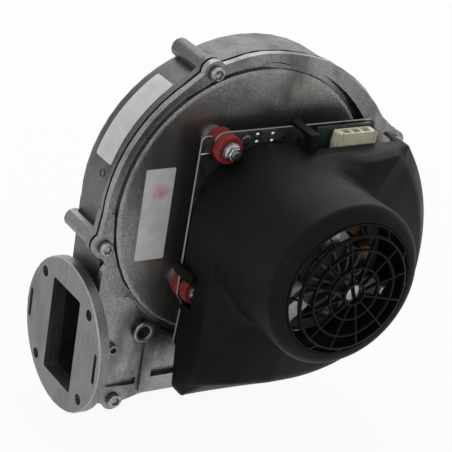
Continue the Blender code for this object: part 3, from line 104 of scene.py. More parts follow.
def product(add, link, first, second):
    """One value times another."""
    times = add("ShaderNodeMath", operation="MULTIPLY")
    link(first, times.inputs[0])
    link(second, times.inputs[1])
    return times.outputs["Value"]


def far_from(add, link, place, spot):
    """Distance in metres of each place from a spot."""
    far = add("ShaderNodeVectorMath", operation="DISTANCE")
    link(place, far.inputs[0])
    far.inputs[1].default_value = tuple(spot)
    return far.outputs["Value"]


def clouds(add, link, place, scale, start, end, detail=4.0, stretch=(1.0, 1.0, 1.0)):
    """Noise on stretched Object coordinates, 0 below start and 1 above end."""
    mapping = add("ShaderNodeMapping", Scale=stretch)
    link(place, mapping.inputs["Vector"])
    noise = add("ShaderNodeTexNoise", Scale=scale, Detail=detail, Roughness=0.6)
    link(mapping.outputs["Vector"], noise.inputs["Vector"])
    return scaled(add, link, noise.outputs["Fac"], 0.0, 1.0, start, end)


def blend(add, link, share, first, second):
    """Colour that goes from first to second as the share goes from 0 to 1. Each is a colour or a socket."""
    mix = add("ShaderNodeMix", data_type="RGBA")
    link(share, mix.inputs["Factor"])
    for socket, value in ((mix.inputs[6], first), (mix.inputs[7], second)):
        if isinstance(value, tuple):
            socket.default_value = (*value, 1.0)
        else:
            link(value, socket)
    return mix.outputs[2]


def roughened(add, link, shader, height, strength, depth, under=None):
    """A bump of that depth in metres on the shader, on top of another bump if there is one."""
    bump = add("ShaderNodeBump", Strength=strength, Distance=depth)
    link(height, bump.inputs["Height"])
    if under is not None:
        link(under, bump.inputs["Normal"])
    link(bump.outputs["Normal"], shader.inputs["Normal"])
    return bump.outputs["Normal"]


def cast_finish(name, dark, light, stain_and_shade, gloss, dull, ground=None, shade_spots=()):
    """As-cast aluminium: clouds between two greys, darker runs, pores, and grain in the bump.

    Ground is a colour, an x in metres, and a round flange's middle and radius. Left of that x the metal
    has upright scratches in that colour, and a brighter tint of it on the flange's chamfer is a painted
    highlight. The last argument lists soft patches of painted shade, each a place and a radius in metres.
    """
    made, shader, add, link = new_finish(name)
    place = add("ShaderNodeTexCoord").outputs["Object"]
    cloud = clouds(add, link, place, scale=26.0, start=0.34, end=0.68, detail=6.0)
    runs = clouds(add, link, place, scale=34.0, start=0.50, end=0.70, detail=7.0, stretch=(1.0, 1.0, 0.5))
    pores = clouds(add, link, place, scale=1300.0, start=0.56, end=0.72, detail=2.0)
    frost = clouds(add, link, place, scale=1000.0, start=0.42, end=0.66, detail=3.0)
    grain = clouds(add, link, place, scale=1700.0, start=0.3, end=0.7, detail=3.0)
    most_frost, most_run, most_pore, most_shade = 0.45, 0.85, 0.55, 0.8
    frost_grey = tuple(1.5 * c for c in light)
    pore_grey = tuple(0.35 * c for c in dark)
    grey = blend(add, link, cloud, dark, light)
    grey = blend(add, link, scaled(add, link, frost, 0.0, most_frost), grey, frost_grey)
    grey = blend(add, link, scaled(add, link, runs, 0.0, most_run), grey, stain_and_shade)
    grey = blend(add, link, scaled(add, link, pores, 0.0, most_pore), grey, pore_grey)
    # Soft patches of painted shade, blended dark where the hood's reflection falls.
    for spot, size in shade_spots:
        far = far_from(add, link, place, spot)
        grey = blend(add, link, scaled(add, link, far, most_shade, 0.0, 0.35 * size, size), grey, stain_and_shade)
    if ground is not None:
        bare, edge, middle, radius = ground
        along = add("ShaderNodeSeparateXYZ")
        link(place, along.inputs["Vector"])
        left = scaled(add, link, along.outputs["X"], 1.0, 0.0, start=edge - 0.0004, end=edge)
        upright = (1.0, 1.0, 0.05)
        scratches = clouds(add, link, place, scale=900.0, start=0.30, end=0.68, detail=3.0, stretch=upright)
        worn = product(add, link, left, scaled(add, link, scratches, 0.25, 0.8))
        grey = blend(add, link, worn, grey, bare)
        across = add("ShaderNodeVectorMath", operation="MULTIPLY_ADD")
        link(place, across.inputs[0])
        across.inputs[1].default_value = (0.0, 1.0, 1.0)
        across.inputs[2].default_value = (0.0, -middle[1], -middle[2])
        away = add("ShaderNodeVectorMath", operation="LENGTH")
        link(across.outputs["Vector"], away.inputs[0])
        # Painted highlight: a ring on the flange's chamfer, tinted brighter than the ground face.
        chamfer = (radius - 0.0009, radius - 0.0006)
        near_edge = scaled(add, link, away.outputs["Value"], 0.0, 0.8, *chamfer)
        near_face = scaled(add, link, along.outputs["X"], 1.0, 0.0, start=0.0009, end=0.0012)
        chamfer_highlight = tuple(1.35 * c for c in bare)
        grey = blend(add, link, product(add, link, near_edge, near_face), grey, chamfer_highlight)
    link(grey, shader.inputs["Base Color"])
    shader.inputs["Metallic"].default_value = 0.9
    link(scaled(add, link, runs, gloss, dull), shader.inputs["Roughness"])
    fine = roughened(add, link, shader, grain, strength=0.2, depth=0.0003)
    roughened(add, link, shader, cloud, strength=0.10, depth=0.0012, under=fine)
    return made


def dress(finish, *names):
    """Give carried-over pieces their finish."""
    for name in names:
        materials = frame["nodes"][name].data.materials
        materials.clear()
        materials.append(finish)


def smooth_group(crease):
    """Node group that shades faces smooth and keeps every edge sharper than the crease angle in degrees."""
    group = bpy.data.node_groups.new(f"smooth_below_{crease}", "GeometryNodeTree")
    for side in ("INPUT", "OUTPUT"):
        group.interface.new_socket("Geometry", in_out=side, socket_type="NodeSocketGeometry")
    start, end = group.nodes.new("NodeGroupInput"), group.nodes.new("NodeGroupOutput")
    faces, edges = (group.nodes.new("GeometryNodeSetShadeSmooth") for side in range(2))
    edges.domain = "EDGE"
    edges.inputs["Shade Smooth"].default_value = False
    bend = group.nodes.new("GeometryNodeInputMeshEdgeAngle")
    sharp = group.nodes.new("FunctionNodeCompare")
    sharp.operation = "GREATER_THAN"
    sharp.inputs["B"].default_value = math.radians(crease)
    joins = ((start.outputs[0], faces.inputs["Geometry"]),
             (faces.outputs[0], edges.inputs["Geometry"]),
             (bend.outputs["Unsigned Angle"], sharp.inputs["A"]),
             (sharp.outputs[0], edges.inputs["Selection"]),
             (edges.outputs[0], end.inputs[0]))
    for source, target in joins:
        group.links.new(source, target)
    return group


smooth = smooth_group(30)


def joined(name):
    """A carried-over piece with its loose triangles joined and its facets shaded smooth."""
    piece = frame["nodes"][name]
    weld = piece.modifiers.new("weld", "WELD")
    weld.merge_threshold = 0.000001
    piece.modifiers.new("smooth", "NODES").node_group = smooth
    return piece


def even_out(*names):
    """Shade the facets of carried-over pieces as the curved faces they stand for, flat faces kept flat."""
    for name in names:
        even = joined(name).modifiers.new("even", "WEIGHTED_NORMAL")
        even.keep_sharp = True


def placed(u, v, w):
    """Places in metres of points given in millimetres from the shaft."""
    u, v, w = np.broadcast_arrays(u, v, w)
    return shaft + 0.001 * np.stack([u, -w, v], axis=-1)


def piece_of(name, points, faces, finish, body, stands_for=(), crease=35.0):
    """A smooth piece from points and faces, turned outwards, that moves with its body."""
    mesh = bpy.data.meshes.new(name)
    mesh.from_pydata(points.reshape(-1, 3).tolist(), [], faces)
    work = bmesh.new()
    work.from_mesh(mesh)
    bmesh.ops.recalc_face_normals(work, faces=work.faces)
    work.to_mesh(mesh)
    work.free()
    mesh.shade_smooth()
    mesh.set_sharp_from_angle(angle=math.radians(crease))
    mesh.materials.append(finish)
    piece = bpy.data.objects.new(name, mesh)
    bpy.context.scene.collection.objects.link(piece)
    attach(piece, body)
    if stands_for:
        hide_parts(*stands_for)
    return piece


def skin(name, points, finish, body="blower", stands_for=(), ring=False, crease=35.0):
    """A closed piece through a grid of points. Each row closes on itself.

    In a ring the last row runs into the first, otherwise a flat end closes the first and the last row.
    """
    rows, columns = points.shape[:2]
    number = np.arange(rows * columns).reshape(rows, columns)
    here = number if ring else number[:-1]
    ahead = np.roll(number, -1, axis=0) if ring else number[1:]
    corners = [here, np.roll(here, -1, axis=1), np.roll(ahead, -1, axis=1), ahead]
    faces = np.stack(corners, axis=-1).reshape(-1, 4).tolist()
    if not ring:
        faces += [number[0][::-1].tolist(), number[-1].tolist()]
    return piece_of(name, points, faces, finish, body, stands_for, crease)


def worn_finish(name, dark, light, metallic, gloss, dull, scale=120.0, grain=0.08, sheen=0.5):
    """Finish in two close tones in soft patches, with a gloss that changes with them and a fine grain."""
    made, shader, add, link = new_finish(name)
    place = add("ShaderNodeTexCoord").outputs["Object"]
    patch = clouds(add, link, place, scale, start=0.34, end=0.66)
    fine = clouds(add, link, place, scale=1800.0, start=0.3, end=0.7, detail=2.0)
    link(blend(add, link, patch, dark, light), shader.inputs["Base Color"])
    shader.inputs["Metallic"].default_value = metallic
    shader.inputs["Specular IOR Level"].default_value = sheen
    link(scaled(add, link, patch, dull, gloss), shader.inputs["Roughness"])
    roughened(add, link, shader, fine, grain, depth=0.0002)
    return made


pan_low, pan_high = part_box("rear_casing")
flange_radius, flange_depth = 0.045, 0.0096
flange_middle = (pan_low[0], pan_high[1] - flange_radius, pan_low[2] + flange_radius)
flange_ground = ((0.27, 0.267, 0.26), pan_low[0] + flange_depth, flange_middle, flange_radius)
pan_cast = cast_finish("cast_pan", dark=(0.070, 0.069, 0.067), light=(0.128, 0.126, 0.122),
                       stain_and_shade=(0.034, 0.033, 0.032), gloss=0.36, dull=0.52, ground=flange_ground)
dress(pan_cast, "rear_casing")
even_out("rear_casing")


def mould_ring(angle, w, wall, radius, bar):
    """Raised ring on the pan's wall: a circle in its tangent plane, with a round bar swept along it."""
    around = np.linspace(0.0, 2 * math.pi, 36, endpoint=False)[:, None]
    across = np.linspace(0.0, 2 * math.pi, 10, endpoint=False)[None, :]
    reach = radius + bar * np.cos(across)
    out = wall + bar * np.sin(across)
    sideways, along = reach * np.cos(around), reach * np.sin(around)
    c, s = math.cos(math.radians(angle)), math.sin(math.radians(angle))
    return placed(out * c - sideways * s, out * s + sideways * c, w + along)


def rim_line(first, last, w, offset, bar):
    """Painted shadow in the rim's corner: a thin dark round bar along the spiral wall, tapered at both ends.

    The wall keeps its first radius down to an angle in degrees. From there it grows evenly as the angle
    falls by a span.
    """
    first_radius, growth, grows_from, span = 81.0, 30.5, 112.0, 202.0
    angle = np.linspace(first, last, 160)[:, None]
    share = np.clip((grows_from - angle) / span, 0.0, 1.0)
    across = np.linspace(0.0, 2 * math.pi, 8, endpoint=False)[None, :]
    thick = bar * np.sqrt(np.clip(np.minimum(angle - last, first - angle), 0.02, 1.0))
    reach = first_radius + growth * share + offset + thick * np.cos(across)
    turn = np.radians(angle)
    return placed(reach * np.cos(turn), reach * np.sin(turn), w + thick * np.sin(across))


# Near-black finish as painted shade: the shadow line in the rim's corner and the inside of the port's bore.
shade_finish = worn_finish("painted_shade", (0.010, 0.010, 0.009), (0.030, 0.029, 0.027), metallic=0.0, gloss=0.6,
                   dull=0.8, scale=300.0)
rim_shadow_bar = rim_line(first=189.0, last=104.0, w=-2.75, offset=6.35, bar=0.22)
skin("painted_shade", rim_shadow_bar, shade_finish)
mark = mould_ring(angle=168.0, w=-16.0, wall=84.25, radius=2.3, bar=0.38)
skin("mould_mark", mark, pan_cast, ring=True)

# Wheel: pressed aluminium back disc with backward blades and a conical shroud.
# A nut clamps it on a brass hub, and it hangs on the shaft end inside the pan.
def round_edges(piece, width, bend):
    """A narrow round, of a width in metres, on every edge of a piece that turns by more than bend degrees."""
    edge = piece.modifiers.new("edge", "BEVEL")
    edge.width = width
    edge.segments = 2
    edge.limit_method = "ANGLE"
    edge.angle_limit = math.radians(bend)
    return edge


def soften(width, *names):
    """Round the edges of carried-over pieces a little, as casting, moulding or tumbling leaves them."""
    for name in names:
        round_edges(joined(name), width, bend=32).harden_normals = True


wheel_sheet = worn_finish("pressed_wheel", (0.55, 0.55, 0.56), (0.66, 0.66, 0.67), metallic=0.95, gloss=0.24,
                          dull=0.36, scale=60.0)
dress(wheel_sheet, "impeller", "impeller_shroud")
brass = worn_finish("turned_brass", (0.46, 0.32, 0.13), (0.60, 0.44, 0.20), metallic=1.0, gloss=0.2,
                    dull=0.34)
dress(brass, "impeller_hub")
zinc = worn_finish("zinc_plate", (0.24, 0.245, 0.245), (0.36, 0.365, 0.365), metallic=1.0, gloss=0.2,
                   dull=0.36, scale=260.0, grain=0.05)
dress(zinc, "impeller_nut")
soften(0.0003, "impeller_hub", "impeller_nut")

# Seal: black rubber gasket between the two halves of the casing.
# It lies on the pan's rim, and the front casing presses it flat.
rubber = worn_finish("black_rubber", (0.010, 0.010, 0.010), (0.022, 0.022, 0.021), metallic=0.0, gloss=0.5,
                     dull=0.7, scale=90.0)
dress(rubber, "casing_seal")

# Front casing: the motor-side half with platform, groove, rising channel roof and the duct's front wall.
# Die-cast aluminium like the pan, smoother on its face so that it mirrors the dark hood.
# A small port on it has a rounded lip, a blind bore lined with painted shade, and painted shade round it.
port_u, port_v = -56.4, -73.2
# Two soft patches of painted shade beside the port stand for the dark hood's reflection there.
port_shade = [(placed(-61.4, -66.1, 5.0), 0.012), (placed(-40.6, -79.6, 3.0), 0.014)]
front_cast = cast_finish("cast_front", dark=(0.17, 0.168, 0.162), light=(0.29, 0.286, 0.276),
                         stain_and_shade=(0.075, 0.072, 0.067), gloss=0.24, dull=0.40, shade_spots=port_shade)
dress(front_cast, "front_casing")
even_out("front_casing")


def turned(profile, u, v, columns=48):
    """Rows of a turned piece. A profile row is radius, w and the depth of its six lobes.

    Reach = radius times (1 + depth times the cosine of six times the angle).
    """
    turn = np.linspace(0.0, 2 * math.pi, columns, endpoint=False)[None, :]
    radius, w, lobes = (np.asarray(profile, float)[:, k, None] for k in range(3))
    reach = radius * (1.0 + lobes * np.cos(6 * turn))
    return placed(u + reach * np.cos(turn), v + reach * np.sin(turn), w)


lip_radius, lip_w, lip_half_width, lip_half_height = 5.2, 9.25, 1.25, 0.75
lip_turn = np.linspace(0.0, 2 * math.pi, 20, endpoint=False)
lip = np.column_stack([lip_radius + lip_half_width * np.cos(lip_turn),
                       lip_w + lip_half_height * np.sin(lip_turn), 0 * lip_turn])
lip_cast = cast_finish("cast_lip", dark=(0.20, 0.197, 0.19), light=(0.30, 0.296, 0.286),
                       stain_and_shade=(0.12, 0.117, 0.11), gloss=0.22, dull=0.36)
skin("port_lip", turned(lip, port_u, port_v), lip_cast, ring=True)
# The bore's near-black lining is painted shade inside the hole.
bore = [(3.98, 3.65, 0), (3.98, 9.2, 0), (3.7, 9.2, 0), (3.6, 4.1, 0), (0.3, 4.0, 0), (0.3, 3.65, 0)]
skin("port_bore", turned(bore, port_u, port_v, columns=36), shade_finish, ring=True)

# Casing screws: zinc-plated steel with a cheese head and a six-lobe socket.
# They are screwed down through the ears of the rim and hold the two halves together.
def middle_of(node):
    """Middle of a carried-over piece across the shaft, and its back and front, in millimetres."""
    low, high = (1000.0 * (np.array(corner) - shaft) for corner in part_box(node))
    return (low[0] + high[0]) / 2, (low[2] + high[2]) / 2, -high[1], -low[1]


head_height = 3.2
for screw in [f"casing_screw_{n}" for n in range(1, 7)]:
    u, v, tip, top = middle_of(screw)
    seat = top - head_height
    rows = [(1.7, tip, 0), (2.2, tip + 0.6, 0), (2.2, seat + 0.05, 0), (4.1, seat, 0), (4.2, seat + 0.15, 0),
            (4.2, top - 1.0, 0), (4.13, top - 0.55, 0), (3.9, top - 0.2, 0), (3.5, top, 0), (2.75, top, 0.02),
            (2.5, top - 0.06, 0.12), (2.38, top - 0.3, 0.14), (2.3, top - 1.9, 0.14), (1.6, top - 2.2, 0.10)]
    skin(f"socket_{screw}", turned(rows, u, v), zinc, stands_for=(screw,), crease=32.0)

# Stickers: two paper labels with rounded corners, glued on.
# One is bent round the pan's wall. The other lies flat on the platform and has a pink ink smudge.
def paper(name, light, soiled, smudge=None):
    """Off-white paper, slightly soiled. A smudge, given as a place and a radius in metres, is a pink spot."""
    made, shader, add, link = new_finish(name)
    place = add("ShaderNodeTexCoord").outputs["Object"]
    soil = clouds(add, link, place, scale=70.0, start=0.40, end=0.75, detail=5.0)
    tone = blend(add, link, soil, light, soiled)
    if smudge is not None:
        spot, radius = smudge
        pink = (0.60, 0.12, 0.24)
        near = scaled(add, link, far_from(add, link, place, spot), 0.75, 0.0, start=0.25 * radius, end=radius)
        ragged = product(add, link, near, clouds(add, link, place, scale=300.0, start=0.25, end=0.6))
        tone = blend(add, link, ragged, tone, pink)
    link(tone, shader.inputs["Base Color"])
    shader.inputs["Roughness"].default_value = 0.42
    roughened(add, link, shader, soil, strength=0.05, depth=0.0003)
    return made


def sticker(length, width, corner, thickness=0.16):
    """Flat sticker as rows along its length: (along, across, height) with round corners and a thin edge."""
    half = length / 2
    ends = corner * (1 - np.cos(np.linspace(0.0, math.pi / 2, 8)))
    straight = np.linspace(corner - half, half - corner, 40)[1:-1]
    along = np.concatenate([ends - half, straight, half - ends[::-1]])
    left = np.clip(half - np.abs(along), 0.0, corner)
    reach = width / 2 - corner + np.sqrt(corner ** 2 - (corner - left) ** 2)
    section = np.array([(-1.0, 0.0), (-1.0, 0.7), (-0.97, 1.0), (0.97, 1.0), (1.0, 0.7), (1.0, 0.0)])
    across = reach[:, None] * section[None, :, 0]
    return np.broadcast_to(along[:, None], across.shape), across, thickness * section[None, :, 1] + 0 * across


wall_radius, wall_face, wall_middle, wall_w = 84.2, 84.22, 144.1, -19.0
along, across, height = sticker(length=56.5, width=17.4, corner=1.6)
wall_turn = np.radians(wall_middle) + along / wall_radius
wall_reach = wall_face + height
skin("wall_sticker", placed(wall_reach * np.cos(wall_turn), wall_reach * np.sin(wall_turn), across + wall_w),
     paper("paper_wall", light=(0.74, 0.74, 0.73), soiled=(0.58, 0.58, 0.57)))
platform_u, platform_w = -58.7, 6.52
smudge = (placed(-57.2, 13.6, 6.6), 0.0068)
along, across, height = sticker(length=55.6, width=18.5, corner=0.8)
platform_paper = paper("paper_platform", light=(0.72, 0.72, 0.72), soiled=(0.56, 0.56, 0.56), smudge=smudge)
skin("platform_sticker", placed(across + platform_u, along, platform_w + height), platform_paper)

# Shaft seal: black rubber disc pressed into the hole in the platform.
# It closes the casing where the shaft goes through.
dress(rubber, "shaft_seal")

# Motor plate: galvanised sheet steel, cut and bent, with a bent tab at the upper mount.
# Its bare cut edges are painted lighter as highlights, and a bright bar on the bend is a painted highlight.
# Four staked pins, a black plug and a rivet sit near its top edge.
def sheet_finish(name, dark, light, edge):
    """Galvanised sheet in soft blue-grey patches, bare cut edges between its two faces painted light as
    highlights.
    """
    plate_middle, core, face = 0.01975, 0.00066, 0.00073
    made, shader, add, link = new_finish(name)
    place = add("ShaderNodeTexCoord").outputs["Object"]
    patch = clouds(add, link, place, scale=200.0, start=0.34, end=0.66)
    depth = add("ShaderNodeSeparateXYZ")
    link(place, depth.inputs["Vector"])
    centred = add("ShaderNodeMath", operation="ADD")
    link(depth.outputs["Y"], centred.inputs[0])
    centred.inputs[1].default_value = plate_middle - shaft[1]
    from_middle = add("ShaderNodeMath", operation="ABSOLUTE")
    link(centred.outputs["Value"], from_middle.inputs[0])
    cut_edge_highlight = scaled(add, link, from_middle.outputs["Value"], 1.0, 0.0, start=core, end=face)
    link(blend(add, link, cut_edge_highlight, blend(add, link, patch, dark, light), edge), shader.inputs["Base Color"])
    link(scaled(add, link, cut_edge_highlight, 0.95, 0.2), shader.inputs["Metallic"])
    link(scaled(add, link, patch, 0.26, 0.42), shader.inputs["Roughness"])
    return made


# The light edge colour is the bare cut steel with a painted highlight on it.
sheet = sheet_finish("galvanised_sheet", dark=(0.10, 0.108, 0.118), light=(0.15, 0.158, 0.17),
                     edge=(0.40, 0.40, 0.395))
dress(sheet, "motor_plate")
soften(0.0002, "motor_plate")
pin_steel_and_highlight = worn_finish("staked_pin", (0.66, 0.66, 0.65), (0.80, 0.80, 0.79), metallic=1.0, gloss=0.22,
                        dull=0.34, scale=400.0, grain=0.03)
black_plug = worn_finish("plug_plastic", (0.008, 0.008, 0.008), (0.014, 0.014, 0.014), metallic=0.0,
                         gloss=0.35, dull=0.5)
plate_face = 20.45
dome = [(1.15, plate_face, 0), (1.15, plate_face + 0.3, 0), (1.0, plate_face + 0.55, 0),
        (0.65, plate_face + 0.77, 0), (0.2, plate_face + 0.85, 0)]
for number, (u, v) in enumerate(((-9.5, 50.0), (0.5, 49.6), (-9.5, 45.6), (0.5, 45.4)), 1):
    skin(f"staked_pin_{number}", turned(dome, u, v, columns=24), pin_steel_and_highlight)
plug = [(1.5, plate_face, 0), (1.5, plate_face + 0.25, 0), (1.2, plate_face + 0.4, 0),
        (0.9, plate_face + 0.15, 0), (0.3, plate_face + 0.1, 0)]
skin("plate_plug", turned(plug, u=-5.0, v=47.0, columns=24), black_plug)
rivet = [(3.1, plate_face, 0), (3.1, plate_face + 0.35, 0), (2.8, plate_face + 0.55, 0),
         (1.4, plate_face + 0.6, 0), (0.5, plate_face + 0.6, 0)]
skin("plate_rivet", turned(rivet, u=-16.2, v=47.0, columns=32), sheet)


def bend_highlight_bar(left, right, v, w, radius):
    """Painted highlight where the tab is bent: a raised bright round bar along u that fades out at both ends.
    """
    u = np.linspace(left, right, 24)[:, None]
    fade = np.sqrt(np.clip(1.0 - ((u - (left + right) / 2) / ((right - left) / 2)) ** 6, 0.02, 1.0))
    turn = np.linspace(0.0, 2 * math.pi, 12, endpoint=False)[None, :]
    return placed(u + 0 * turn, v + radius * fade * np.cos(turn), w + radius * fade * np.sin(turn))


# A bright steel bar along the tab's bend is a painted highlight.
highlight_bar = bend_highlight_bar(left=-44.4, right=-37.6, v=41.3, w=20.42, radius=0.42)
skin("bend_highlight_line", highlight_bar, pin_steel_and_highlight)

# Mounts: moulded red rubber grommets snapped into the plate.
# Each is a turned form with full rounds, and a screw with a washer holds it on a steel sleeve.
def rounded(corners, cuts, steps=6):
    """Closed line through corners, each replaced by a curve that starts and ends cut millimetres from it."""
    corners = np.asarray(corners, float)
    before, after = np.roll(corners, 1, axis=0) - corners, np.roll(corners, -1, axis=0) - corners
    t = np.linspace(0.0, 1.0, steps).reshape((-1,) + (1,) * (corners.ndim - 1))
    line = []
    for corner, back, on, cut in zip(corners, before, after, cuts):
        long_back = np.linalg.norm(back, axis=-1, keepdims=True) + 1e-9
        long_on = np.linalg.norm(on, axis=-1, keepdims=True) + 1e-9
        first = corner + back / long_back * np.minimum(cut, 0.48 * long_back)
        last = corner + on / long_on * np.minimum(cut, 0.48 * long_on)
        line.append((1 - t) ** 2 * first + 2 * t * (1 - t) * corner + t ** 2 * last)
    return np.concatenate(line)


red_rubber = worn_finish("red_rubber", (0.19, 0.020, 0.017), (0.28, 0.036, 0.031), metallic=0.0, gloss=0.42,
                         dull=0.6, scale=260.0, grain=0.16, sheen=0.22)
plate_back, plate_front = 18.7, 20.8
mount_bore, mount_back, mount_neck, mount_front = 3.7, 8.8, 5.2, 8.3
for number in (1, 2, 3):
    u, v, back, front = middle_of(f"grommet_{number}")
    corners = [(mount_bore, back), (mount_back, back), (mount_back, plate_back), (mount_neck, plate_back),
               (mount_neck, plate_front), (mount_front, plate_front), (mount_front, front - 1.2),
               (7.7, front), (6.0, front - 0.3), (mount_bore, front - 0.3)]
    line = rounded(corners, (0.3, 0.7, 0.7, 0.3, 0.3, 0.7, 1.0, 1.0, 0.5, 0.3))
    profile = np.column_stack([line, np.zeros(len(line))])
    skin(f"rubber_mount_{number}", turned(profile, u, v, columns=64), red_rubber,
         stands_for=(f"grommet_{number}",), ring=True)
    dress(zinc, f"grommet_sleeve_{number}", f"grommet_washer_{number}", f"grommet_screw_{number}")
    soften(0.0002, f"grommet_washer_{number}", f"grommet_screw_{number}")

# Motor: bearing flange on the plate, laminated stator, rotor on the ground shaft and the front bracket.
# Cast aluminium bearing parts, steel sheets stacked into laminations, and bolts through the whole stack.
def layered_finish(name, dark, light, pitch):
    """Steel built of sheets: light and dark lines across the shaft at that pitch in metres."""
    made, shader, add, link = new_finish(name)
    place = add("ShaderNodeTexCoord").outputs["Object"]
    lines = add("ShaderNodeTexWave", bands_direction="Y", Scale=math.pi / 10 / pitch, Distortion=0.4)
    link(place, lines.inputs["Vector"])
    patch = clouds(add, link, place, scale=150.0, start=0.35, end=0.7)
    tone = blend(add, link, lines.outputs["Fac"], dark, light)
    link(blend(add, link, scaled(add, link, patch, 0.0, 0.5), tone, dark), shader.inputs["Base Color"])
    shader.inputs["Metallic"].default_value = 0.95
    link(scaled(add, link, patch, 0.26, 0.42), shader.inputs["Roughness"])
    roughened(add, link, shader, lines.outputs["Fac"], strength=0.25, depth=0.0002)
    return made


bracket_cast = worn_finish("bracket_cast", (0.32, 0.315, 0.30), (0.43, 0.425, 0.405), metallic=0.95,
                           gloss=0.30, dull=0.46, scale=80.0, grain=0.12)
dress(bracket_cast, "motor_flange", "front_bracket")
soften(0.0004, "motor_flange", "front_bracket")
race = worn_finish("bearing_race", (0.50, 0.50, 0.51), (0.62, 0.62, 0.63), metallic=1.0, gloss=0.14,
                   dull=0.24, scale=90.0, grain=0.02)
dress(race, "plate_bearing_outer", "plate_bearing_inner", "front_bearing_outer", "front_bearing_inner")
laminations = layered_finish("laminations", dark=(0.26, 0.255, 0.24), light=(0.50, 0.49, 0.465), pitch=0.001)
dress(laminations, "stator_stack")
rotor_sheets = layered_finish("rotor_sheets", dark=(0.18, 0.18, 0.185), light=(0.34, 0.34, 0.345),
                              pitch=0.001)
dress(rotor_sheets, "rotor_core")
ground_shaft = worn_finish("ground_shaft", (0.20, 0.20, 0.20), (0.30, 0.30, 0.30), metallic=1.0, gloss=0.3,
                           dull=0.45, scale=90.0, grain=0.02)
dress(ground_shaft, "motor_shaft")
dress(zinc, "motor_bolt_1", "motor_bolt_2", "motor_bolt_3")
soften(0.0004, "motor_shaft")

# Coils: enamelled copper wire wound round each tooth, turn beside turn.
# The wires are modelled as round ridges that run the whole way round the coil.
def coil(angle):
    """Coil as a wound band: its section, scalloped by the wires, swept along a rounded rectangle.

    Each ridge is a circular arc: depth = wire radius times (1 - root of (1 - x squared)) across one wire.
    """
    half_width, half_length, middle = 8.7, 22.4, 62.0
    inside, outside, reach, wire = 23.55, 31.15, 2.1, 1.05
    samples, ridge_width = 8, 1.9
    band = [(inside, -reach), (inside, reach), (outside, reach), (outside, -reach)]
    outline = rounded(band, (0.4, 1.5, 1.5, 0.4), steps=8)
    ahead = np.roll(outline, -1, axis=0)
    far = np.concatenate([[0.0], np.cumsum(np.linalg.norm(ahead - outline, axis=1))])
    turns = round(far[-1] / wire)
    spot = np.linspace(0.0, far[-1], samples * turns, endpoint=False)
    closed = np.vstack([outline, outline[:1]])
    section = np.column_stack([np.interp(spot, far, closed[:, k]) for k in range(2)])
    run = np.roll(section, -1, axis=0) - np.roll(section, 1, axis=0)
    inward = np.column_stack([run[:, 1], -run[:, 0]]) / np.linalg.norm(run, axis=1)[:, None]
    inward *= np.sign(np.sum(inward * (section.mean(axis=0) - section)))
    x = ridge_width * ((np.arange(samples * turns) % samples + 0.5) / samples - 0.5)
    section = section + inward * (0.5 * wire * (1 - np.sqrt(1 - x ** 2)))[:, None]
    tooth = [(-half_width, -half_length), (half_width, -half_length),
             (half_width, half_length), (-half_width, half_length)]
    path = rounded(tooth, (4.2, 4.2, 4.2, 4.2), steps=10)
    bend = np.roll(path, -1, axis=0) - np.roll(path, 1, axis=0)
    out = np.column_stack([bend[:, 1], -bend[:, 0]]) / np.linalg.norm(bend, axis=1)[:, None]
    t = path[:, None, 0] + out[:, None, 0] * section[None, :, 1]
    w = middle + path[:, None, 1] + out[:, None, 1] * section[None, :, 1]
    radius = np.broadcast_to(section[None, :, 0], t.shape)
    c, s = math.cos(angle), math.sin(angle)
    return placed(radius * c - t * s, radius * s + t * c, w)


copper = worn_finish("enamelled_copper", (0.13, 0.060, 0.026), (0.27, 0.135, 0.062), metallic=0.55,
                     gloss=0.22, dull=0.36, scale=300.0, grain=0.04)
for number in range(6):
    skin(f"wound_coil_{number + 1}", coil(math.pi * number / 3), copper,
         stands_for=(f"stator_coil_{number + 1}",), ring=True, crease=60.0)

# Shaft end: the bright slotted tip that shows in the middle of the grille.
# Turned steel with a milled slot, zinc-plated, and it turns with the rotor.
def half_tip(side, radius, slot, w, tilt):
    """Half of the slotted tip: a circle segment beside the slot, drawn in at its front, tilted in degrees."""
    turn = np.linspace(-0.46, 0.46, 20) * math.pi
    across = side * (slot / 2 + (radius - slot / 2) * np.cos(turn))
    outline = np.column_stack([across, radius * np.sin(turn) * np.sqrt(1 - (slot / 2 / radius) ** 2)])
    level = np.array([(w[0], 1.0), (w[1] - 0.5, 1.0), (w[1] - 0.15, 0.95), (w[1], 0.86)])
    centre = np.array([side * radius / 2, 0.0])
    rows = centre + level[:, 1, None, None] * (outline - centre)[None, :, :]
    a, b = rows[:, :, 0], rows[:, :, 1]
    c, s = math.cos(math.radians(tilt)), math.sin(math.radians(tilt))
    return placed(a * c - b * s, a * s + b * c, level[:, 0, None])


for number, side in ((1, -1.0), (2, 1.0)):
    tip = half_tip(side, radius=5.0, slot=1.1, w=(108.9, 115.4), tilt=20.0)
    skin(f"shaft_tip_{number}", tip, zinc, "rotor")

# Cooling fan: dark moulded plastic with straight fins.
# It is pressed on the shaft behind the grille.
fan_plastic = worn_finish("fan_plastic", (0.020, 0.017, 0.014), (0.036, 0.031, 0.026), metallic=0.0,
                          gloss=0.4, dull=0.55)
dress(fan_plastic, "cooling_fan")
soften(0.0003, "cooling_fan")

